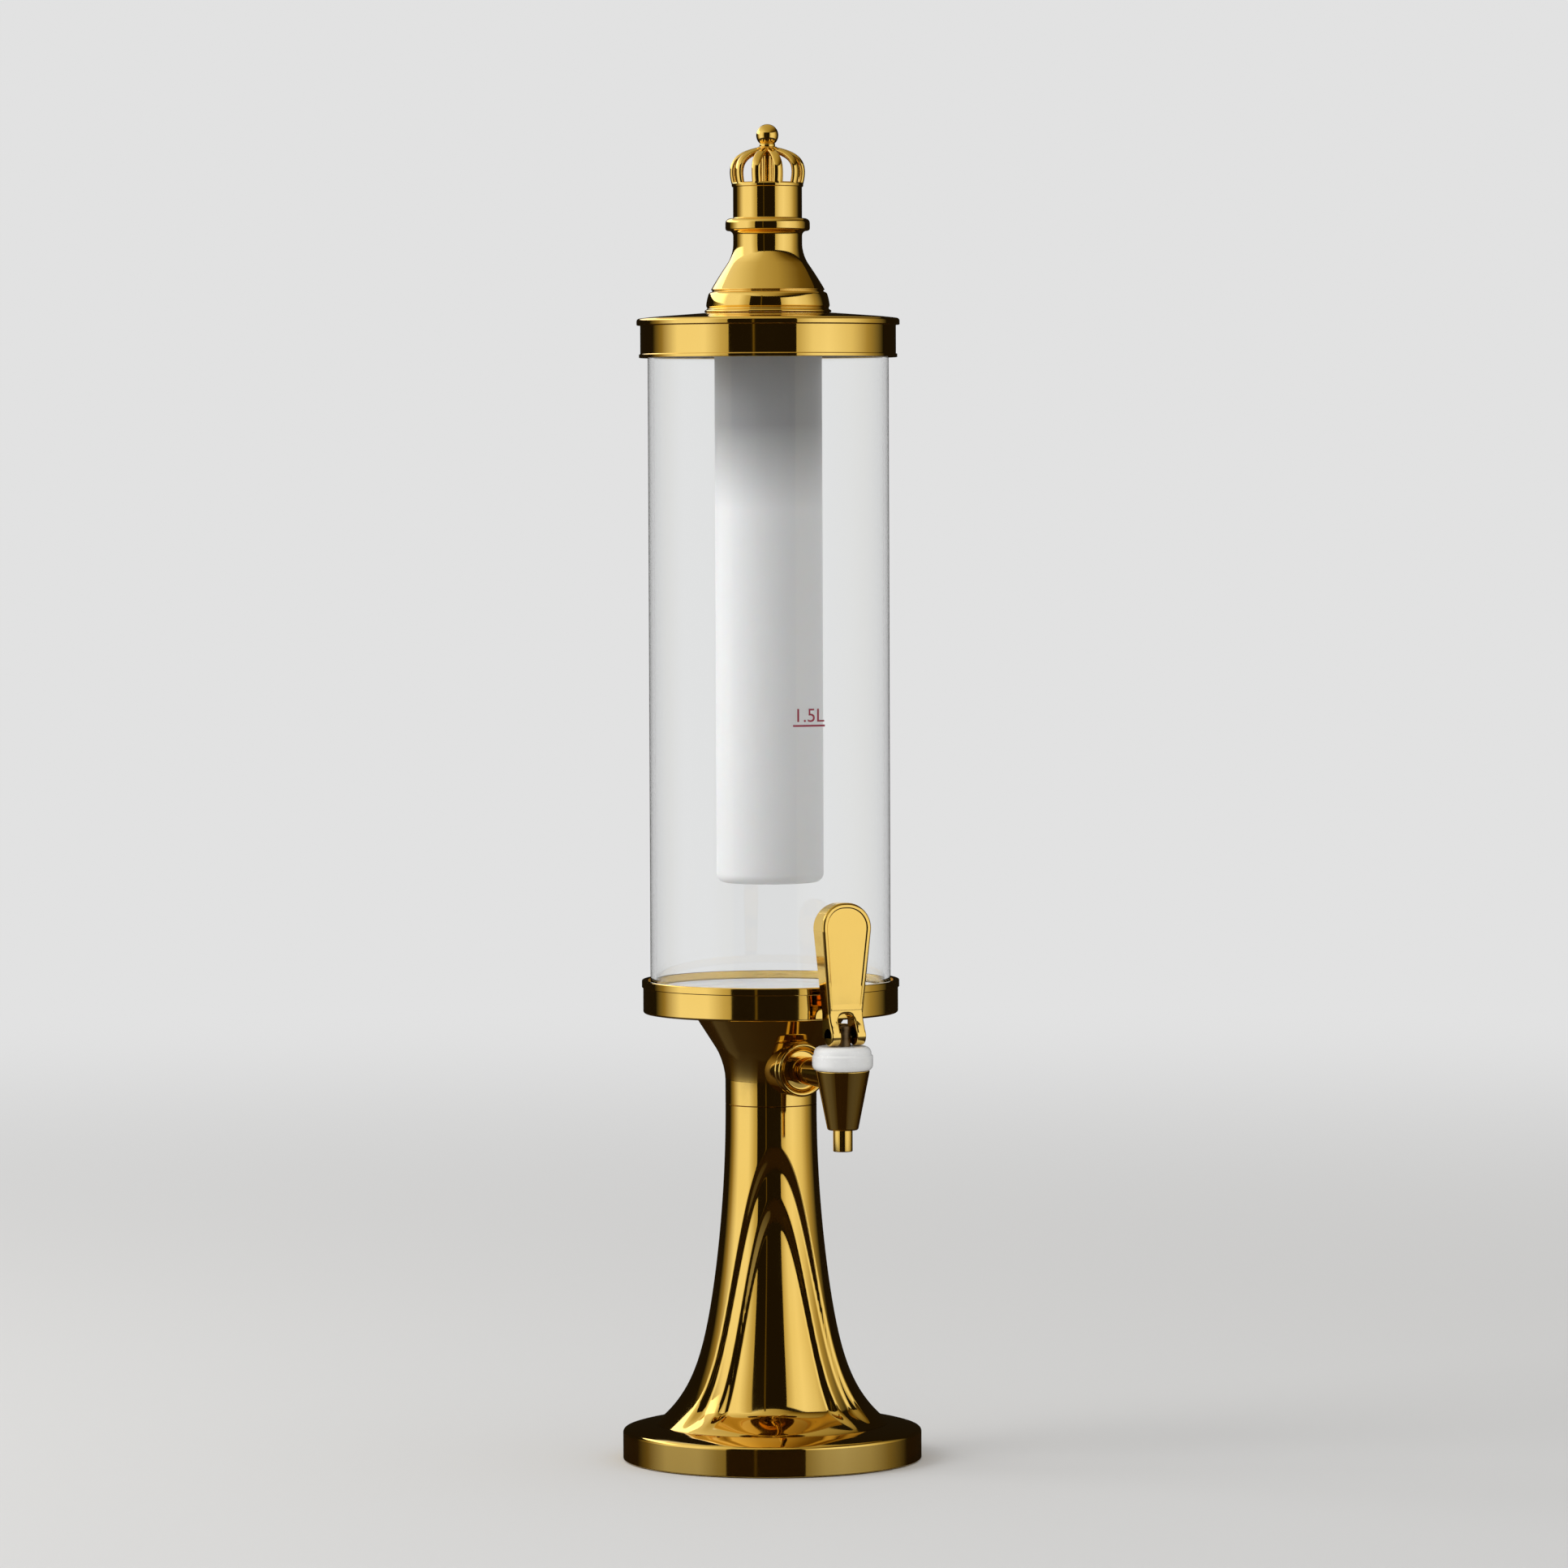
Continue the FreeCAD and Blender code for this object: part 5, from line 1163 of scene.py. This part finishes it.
# %% Tap body and tip
CONE_TOP = foot("bonnet")
CONE_LOW = foot("tap_body")
CONE_TOP_RADIUS = (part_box("tap_body")[1].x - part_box("tap_body")[0].x) / 2 / MM
CONE_LOW_RADIUS = 8.2
MOUTH_BORE, MOUTH_HEIGHT = 12, 5.4
CHAMBER_RADIUS, CHAMBER_LOW = 9, CONE_TOP - 18.6
SHANK_START, SHANK_END = COLLAR_OUT - 2, -TAP_AXIS.y / MM - 9.5
SHANK_BORE = 3.5
TIP_LOW, TIP_RADIUS = foot("spout_tip"), reach("spout_tip", axis=TAP_AXIS)
SPOUT_BORE = 4.0
TIP_SEAT = CONE_LOW + 5

cone = turned([
    (TIP_RADIUS + GAP, CONE_LOW),
    (CONE_LOW_RADIUS, CONE_LOW, 1.0),
    (CONE_TOP_RADIUS, CONE_TOP, 0.5),
    (MOUTH_BORE, CONE_TOP),
    (MOUTH_BORE, CONE_TOP + MOUTH_HEIGHT),
    (CHAMBER_RADIUS, CONE_TOP + MOUTH_HEIGHT),
    (CHAMBER_RADIUS, CHAMBER_LOW),
    (TIP_RADIUS + GAP, CHAMBER_LOW),
], steps=SMALL_STEPS)
moved(cone, to=TAP_AXIS)
shank = turned([
    (SHANK_BORE, SHANK_START),
    (SHANK_RADIUS, SHANK_START),
    (SHANK_RADIUS, SHANK_END),
    (SHANK_BORE, SHANK_END),
], steps=TINY_STEPS)
moved(shank, FORWARD, TAP_CENTRE)
put(joined(cone, shank), "tap_body_polished", "tap_body")

put(moved(turned([
    (SPOUT_BORE, TIP_LOW, 0.3),
    (TIP_RADIUS, TIP_LOW, 0.5),
    (TIP_RADIUS, TIP_SEAT),
    (SPOUT_BORE, TIP_SEAT),
], steps=TINY_STEPS), to=TAP_AXIS), "spout_tip_polished", "spout_tip")

# %% [markdown]
# ## Bonnet
# A white bonnet caps the valve. It is a moulded ring with a full, soft lower edge and a smaller step
# near its top, and the plunger comes up through the hole in its middle.

# %% Bonnet
BONNET_LOW, BONNET_TOP = foot("bonnet"), top("bonnet")
BONNET_RADIUS = reach("bonnet", axis=TAP_AXIS)
BONNET_ROOF = BONNET_LOW + 5.7
PLUNGER_RADIUS = 4.4
PLUNGER_HOLE = PLUNGER_RADIUS + 0.3

put(moved(turned([
    (MOUTH_BORE + GAP, BONNET_LOW),
    (BONNET_RADIUS, BONNET_LOW, 3.2),
    (BONNET_RADIUS, BONNET_TOP - 5.0, 0.5),
    (BONNET_RADIUS - 0.8, BONNET_TOP - 4.4, 0.5),
    (BONNET_RADIUS - 1.2, BONNET_TOP, 3.2),
    (PLUNGER_HOLE, BONNET_TOP, 0.5),
    (PLUNGER_HOLE, BONNET_ROOF),
    (MOUTH_BORE + GAP, BONNET_ROOF),
], steps=SMALL_STEPS), to=TAP_AXIS), "bonnet_white", "bonnet")

# %% [markdown]
# ## Plunger and pin
# The plunger comes out of the bonnet between the legs of the handle, and a steel pin crosses it. Lower
# down it has a shoulder that rests on the seal of the valve. Its steel is coloured dark brown, so it
# gets a finish of its own and keeps the slot of plain steel.

# %% Plunger
PLUNGER_LOW, PLUNGER_TOP = foot("plunger"), top("plunger")
SEAL_TOP = top("valve_seal")
PIN_LOW, PIN_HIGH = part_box("pivot_pin")
PIN_LEVEL = (PIN_LOW.z + PIN_HIGH.z) / 2 / MM
PIN_RADIUS = (PIN_HIGH.z - PIN_LOW.z) / 2 / MM
PIN_STEPS = 32
ROD_RADIUS = 3.0
SHOULDER_RADIUS, SHOULDER_TOP = 7.0, SEAL_TOP + 1.5

put(moved(turned([
    (0, PLUNGER_LOW),
    (ROD_RADIUS, PLUNGER_LOW),
    (ROD_RADIUS, SEAL_TOP),
    (SHOULDER_RADIUS, SEAL_TOP, 0.2),
    (SHOULDER_RADIUS, SHOULDER_TOP, 0.3),
    (PLUNGER_RADIUS, SHOULDER_TOP),
    (PLUNGER_RADIUS, PLUNGER_TOP, 2.4),
    (0, PLUNGER_TOP),
], steps=TINY_STEPS), to=TAP_AXIS), "plunger_turned", "plunger", finish=plunger_brown)

pin = turned([
    (0, PIN_LOW.x / MM),
    (PIN_RADIUS, PIN_LOW.x / MM, 0.3),
    (PIN_RADIUS, PIN_HIGH.x / MM, 0.3),
    (0, PIN_HIGH.x / MM),
], steps=PIN_STEPS)
moved(pin, Matrix.Rotation(math.radians(90), 4, "Y"), TAP_AXIS + Vector((0, 0, PIN_LEVEL * MM)))
put(pin, "pivot_pin_turned", "pivot_pin")

# %% [markdown]
# ## Bellows
# A silicone bellows round the plunger springs the valve shut. It hangs from the roof of the tap's
# valve chamber, and the plunger's shoulder pushes its lower end up as the tap opens. So it is made as
# a turned ring of folds.

# %% Bellows
BELLOWS_LOW, BELLOWS_TOP = foot("valve_bellows"), top("valve_bellows")
BELLOWS_OUTER = reach("valve_bellows", axis=TAP_AXIS)
FOLD_DEPTH = 2.2
BELLOWS_WALL = 0.8
FOLD_STEPS = 8
fold_height = (BELLOWS_TOP - BELLOWS_LOW) / FOLD_STEPS
folds = [(BELLOWS_OUTER - FOLD_DEPTH * (number % 2), BELLOWS_LOW + fold_height * number)
         for number in range(FOLD_STEPS + 1)]
inner_folds = [(radius - BELLOWS_WALL, level) for radius, level in reversed(folds)]
bellows = put(moved(turned(folds + inner_folds, steps=TINY_STEPS), to=TAP_AXIS),
              "valve_bellows_folds", "valve_bellows")
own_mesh(bellows)

# %% [markdown]
# ## Handle
# The handle is a flat paddle that gets wider towards its round top, on a fork whose two legs end in
# round heels. It starts as its front outline, with the fork's gap in it, and its round top comes from a
# wide bevel of the two upper corners. The outline is extruded, its front and back edges are bevelled
# into a soft rim, and the panel inside the rim is sunk a little and stays flat. Cuts across it then
# let its thickness follow its height.

# %% Handle
HANDLE_LOW_BOX, HANDLE_TOP_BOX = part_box("handle")
HANDLE_TOP = HANDLE_TOP_BOX.z / MM
HANDLE_HALF = (HANDLE_TOP_BOX.x - HANDLE_LOW_BOX.x) / 2 / MM
WAIST_HALF = 10.25
SLOT_HALF = 4.85
HEEL_RADIUS = 5.1
HEEL_OFFSET = 3.0
LEG_LOW = PIN_LEVEL - 0.8
WAIST_LEVEL = PIN_LEVEL - HEEL_RADIUS + 17
CORNER_HALF = WAIST_HALF + (HANDLE_HALF - WAIST_HALF) * (HANDLE_TOP - WAIST_LEVEL) / (
    HANDLE_TOP - HANDLE_HALF - WAIST_LEVEL)
HANDLE_THICK, FORK_THICK = 12.5, 8.6
TOP_THINNING = 2.4
TOP_ROUNDING, SLOT_ROUNDING = CORNER_HALF * 0.94, SLOT_HALF * 0.8
CORNER_SEGMENTS = 14
BORDER = 2.6
BORDER_SEGMENTS = 6
RIM_FLAT = 1.0
PANEL_DEPTH = 0.6
PANEL_LOW = WAIST_LEVEL + 1.4
FLAT_FACE = 0.9995
THICKNESS_CUTS = 24
HEEL_STEPS = 48
SAME_SPOT, SAME_PLANE = 1e-6, 1e-7


def round_corners(bm, across, level, rounding):
    """Rounds the pair of corners that lie at a distance from the middle, at a level."""
    corners = [vertex for vertex in bm.verts if abs(abs(vertex.co.x) - across * MM) < SAME_SPOT
               and abs(vertex.co.z - level * MM) < SAME_SPOT]
    bmesh.ops.bevel(bm, geom=corners, offset=rounding * MM, offset_type="OFFSET",
                    segments=CORNER_SEGMENTS, profile=0.5, affect="VERTICES", material=-1)


def cut_across(bm, level):
    """New edges where a level plane meets the mesh."""
    bmesh.ops.bisect_plane(bm, geom=bm.verts[:] + bm.edges[:] + bm.faces[:], dist=SAME_PLANE,
                           plane_co=(0, 0, level * MM), plane_no=(0, 0, 1))


def handle_outline():
    """Front view as one face: legs, tapered sides and a round top."""
    bm = bmesh.new()
    half = [(SLOT_HALF, LEG_LOW), (WAIST_HALF, LEG_LOW), (WAIST_HALF, WAIST_LEVEL),
            (CORNER_HALF, HANDLE_TOP)]
    slot = [(-SLOT_HALF, LEG_LOW), (-SLOT_HALF, WAIST_LEVEL), (SLOT_HALF, WAIST_LEVEL)]
    spots = half + [(-x, z) for x, z in reversed(half[1:])] + slot
    bm.faces.new([bm.verts.new((x * MM, 0, z * MM)) for x, z in spots])
    round_corners(bm, CORNER_HALF, HANDLE_TOP, TOP_ROUNDING)
    round_corners(bm, SLOT_HALF, WAIST_LEVEL, SLOT_ROUNDING)
    return bm


def handle_thickness(level):
    """Half thickness at a height: thin fork, thicker paddle, slightly drawn in at its top."""
    rise = min(max((level - WAIST_LEVEL) / (HANDLE_TOP - HANDLE_HALF - WAIST_LEVEL), 0.0), 1.0)
    half = (FORK_THICK + (HANDLE_THICK - FORK_THICK) * rise) / 2
    over = max(level - (HANDLE_TOP - HANDLE_HALF), 0.0) / HANDLE_HALF
    return half - TOP_THINNING * over ** 2


def leg_bulge(level):
    """How much the legs thicken towards their heels, on the front only."""
    rise = (level - PIN_LEVEL) / (WAIST_LEVEL - PIN_LEVEL)
    return (HEEL_OFFSET + HEEL_RADIUS - FORK_THICK / 2) * (1 - smooth_step(rise))


def make_paddle():
    """The outline as a thick piece with a soft rim and sunk panels, shaped by height."""
    bm = handle_outline()
    bmesh.ops.translate(bm, vec=(0, -HANDLE_THICK / 2 * MM, 0), verts=bm.verts)
    grown = bmesh.ops.extrude_face_region(bm, geom=bm.faces[:])["geom"]
    moving = [item for item in grown if isinstance(item, bmesh.types.BMVert)]
    bmesh.ops.translate(bm, vec=(0, HANDLE_THICK * MM, 0), verts=moving)
    bmesh.ops.recalc_face_normals(bm, faces=bm.faces)
    rims = [edge for edge in bm.edges if abs(edge.verts[0].co.y - edge.verts[1].co.y) < SAME_PLANE]
    bmesh.ops.bevel(bm, geom=rims, offset=BORDER / 2 * MM, offset_type="OFFSET", segments=BORDER_SEGMENTS,
                    profile=0.5, affect="EDGES", clamp_overlap=True, material=-1)
    cut_across(bm, PANEL_LOW)
    for side in (-1, 1):
        panel = [face for face in bm.faces if face.normal.y * side > FLAT_FACE
                 and face.calc_center_median().z > PANEL_LOW * MM]
        bmesh.ops.inset_region(bm, faces=panel, thickness=RIM_FLAT * MM, use_even_offset=True)
        bmesh.ops.inset_region(bm, faces=panel, thickness=PANEL_DEPTH * MM, depth=-PANEL_DEPTH * MM,
                               use_even_offset=True)
    for number in range(1, THICKNESS_CUTS):
        cut_across(bm, LEG_LOW + (HANDLE_TOP - LEG_LOW) * number / THICKNESS_CUTS)
    for vertex in bm.verts:
        half = handle_thickness(vertex.co.z / MM)
        if vertex.co.y < 0:
            half += leg_bulge(vertex.co.z / MM)
        vertex.co.y *= half / (HANDLE_THICK / 2)
    return bm


def make_heel(side):
    """Round cam at the end of one leg, set a little in front of the pin."""
    heel = turned([
        (0, SLOT_HALF),
        (HEEL_RADIUS, SLOT_HALF, 0.4),
        (HEEL_RADIUS, WAIST_HALF, 0.8),
        (0, WAIST_HALF),
    ], steps=HEEL_STEPS)
    return moved(heel, Matrix.Rotation(math.radians(90 * side), 4, "Y"),
                 Vector((0, -HEEL_OFFSET * MM, PIN_LEVEL * MM)))


handle = joined(make_paddle(), make_heel(-1), make_heel(1))
put(moved(handle, to=TAP_AXIS), "handle_polished", "handle")

# %% [markdown]
# ## Level mark
# A short red line and a number are printed on the tube. The number is a text object made a mesh, and
# both are wrapped round the tube by turning each vertex's distance from the middle into an angle. They
# are a thin film of their own, because a printed colour lies on the acrylic and not in it.

# %% Level mark
MARK_LOW_BOX, MARK_HIGH_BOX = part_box("level_mark")
MARK_LEVEL = MARK_HIGH_BOX.z / MM
MARK_MIDDLE = (MARK_LOW_BOX + MARK_HIGH_BOX) / 2
MARK_AZIMUTH = math.atan2(MARK_MIDDLE.x, -MARK_MIDDLE.y)
MARK_WORDS = "1.5L"
TEXT_SIZE, TEXT_LIFT = 10.2, 1.6
LINE_WIDTH, LINE_HEIGHT = 18.0, 1.0
LINE_CUTS = 12
FILM = 0.12
FILM_GAP = 0.02


def wrapped(bm):
    """Wraps a flat mesh, drawn in X and Y in millimetres, round the tube at the mark."""
    for vertex in bm.verts:
        angle = MARK_AZIMUTH + vertex.co.x / TUBE_RADIUS
        radius = (TUBE_RADIUS + FILM_GAP + vertex.co.z) * MM
        level = (MARK_LEVEL + vertex.co.y) * MM
        vertex.co = (radius * math.sin(angle), -radius * math.cos(angle), level)
    return bm


def mark_text():
    """The number, flat, a little above the line."""
    curve = bpy.data.curves.new("mark_text", "FONT")
    curve.body = MARK_WORDS
    curve.size = TEXT_SIZE
    curve.extrude = FILM / 2
    curve.align_x = "CENTER"
    text = bpy.data.objects.new("mark_text", curve)
    bpy.context.scene.collection.objects.link(text)
    mesh = bpy.data.meshes.new_from_object(text)
    bpy.data.objects.remove(text)
    bm = bmesh.new()
    bm.from_mesh(mesh)
    bmesh.ops.remove_doubles(bm, verts=bm.verts, dist=MERGE_GAP)
    bmesh.ops.translate(bm, vec=(0, TEXT_LIFT, FILM / 2), verts=bm.verts)
    return bm


def mark_line():
    """The line, flat, with cuts that let it bend round the tube."""
    bm = bmesh.new()
    bmesh.ops.create_grid(bm, x_segments=LINE_CUTS, y_segments=1, size=0.5)
    bmesh.ops.scale(bm, vec=(LINE_WIDTH, LINE_HEIGHT, 1), verts=bm.verts)
    bmesh.ops.translate(bm, vec=(0, -LINE_HEIGHT / 2, 0), verts=bm.verts)
    bmesh.ops.solidify(bm, geom=bm.faces[:], thickness=-FILM)
    return bm


mark = wrapped(joined(mark_text(), mark_line()))
bmesh.ops.recalc_face_normals(mark, faces=mark.faces)
put(mark, "level_mark_printed", "level_mark")
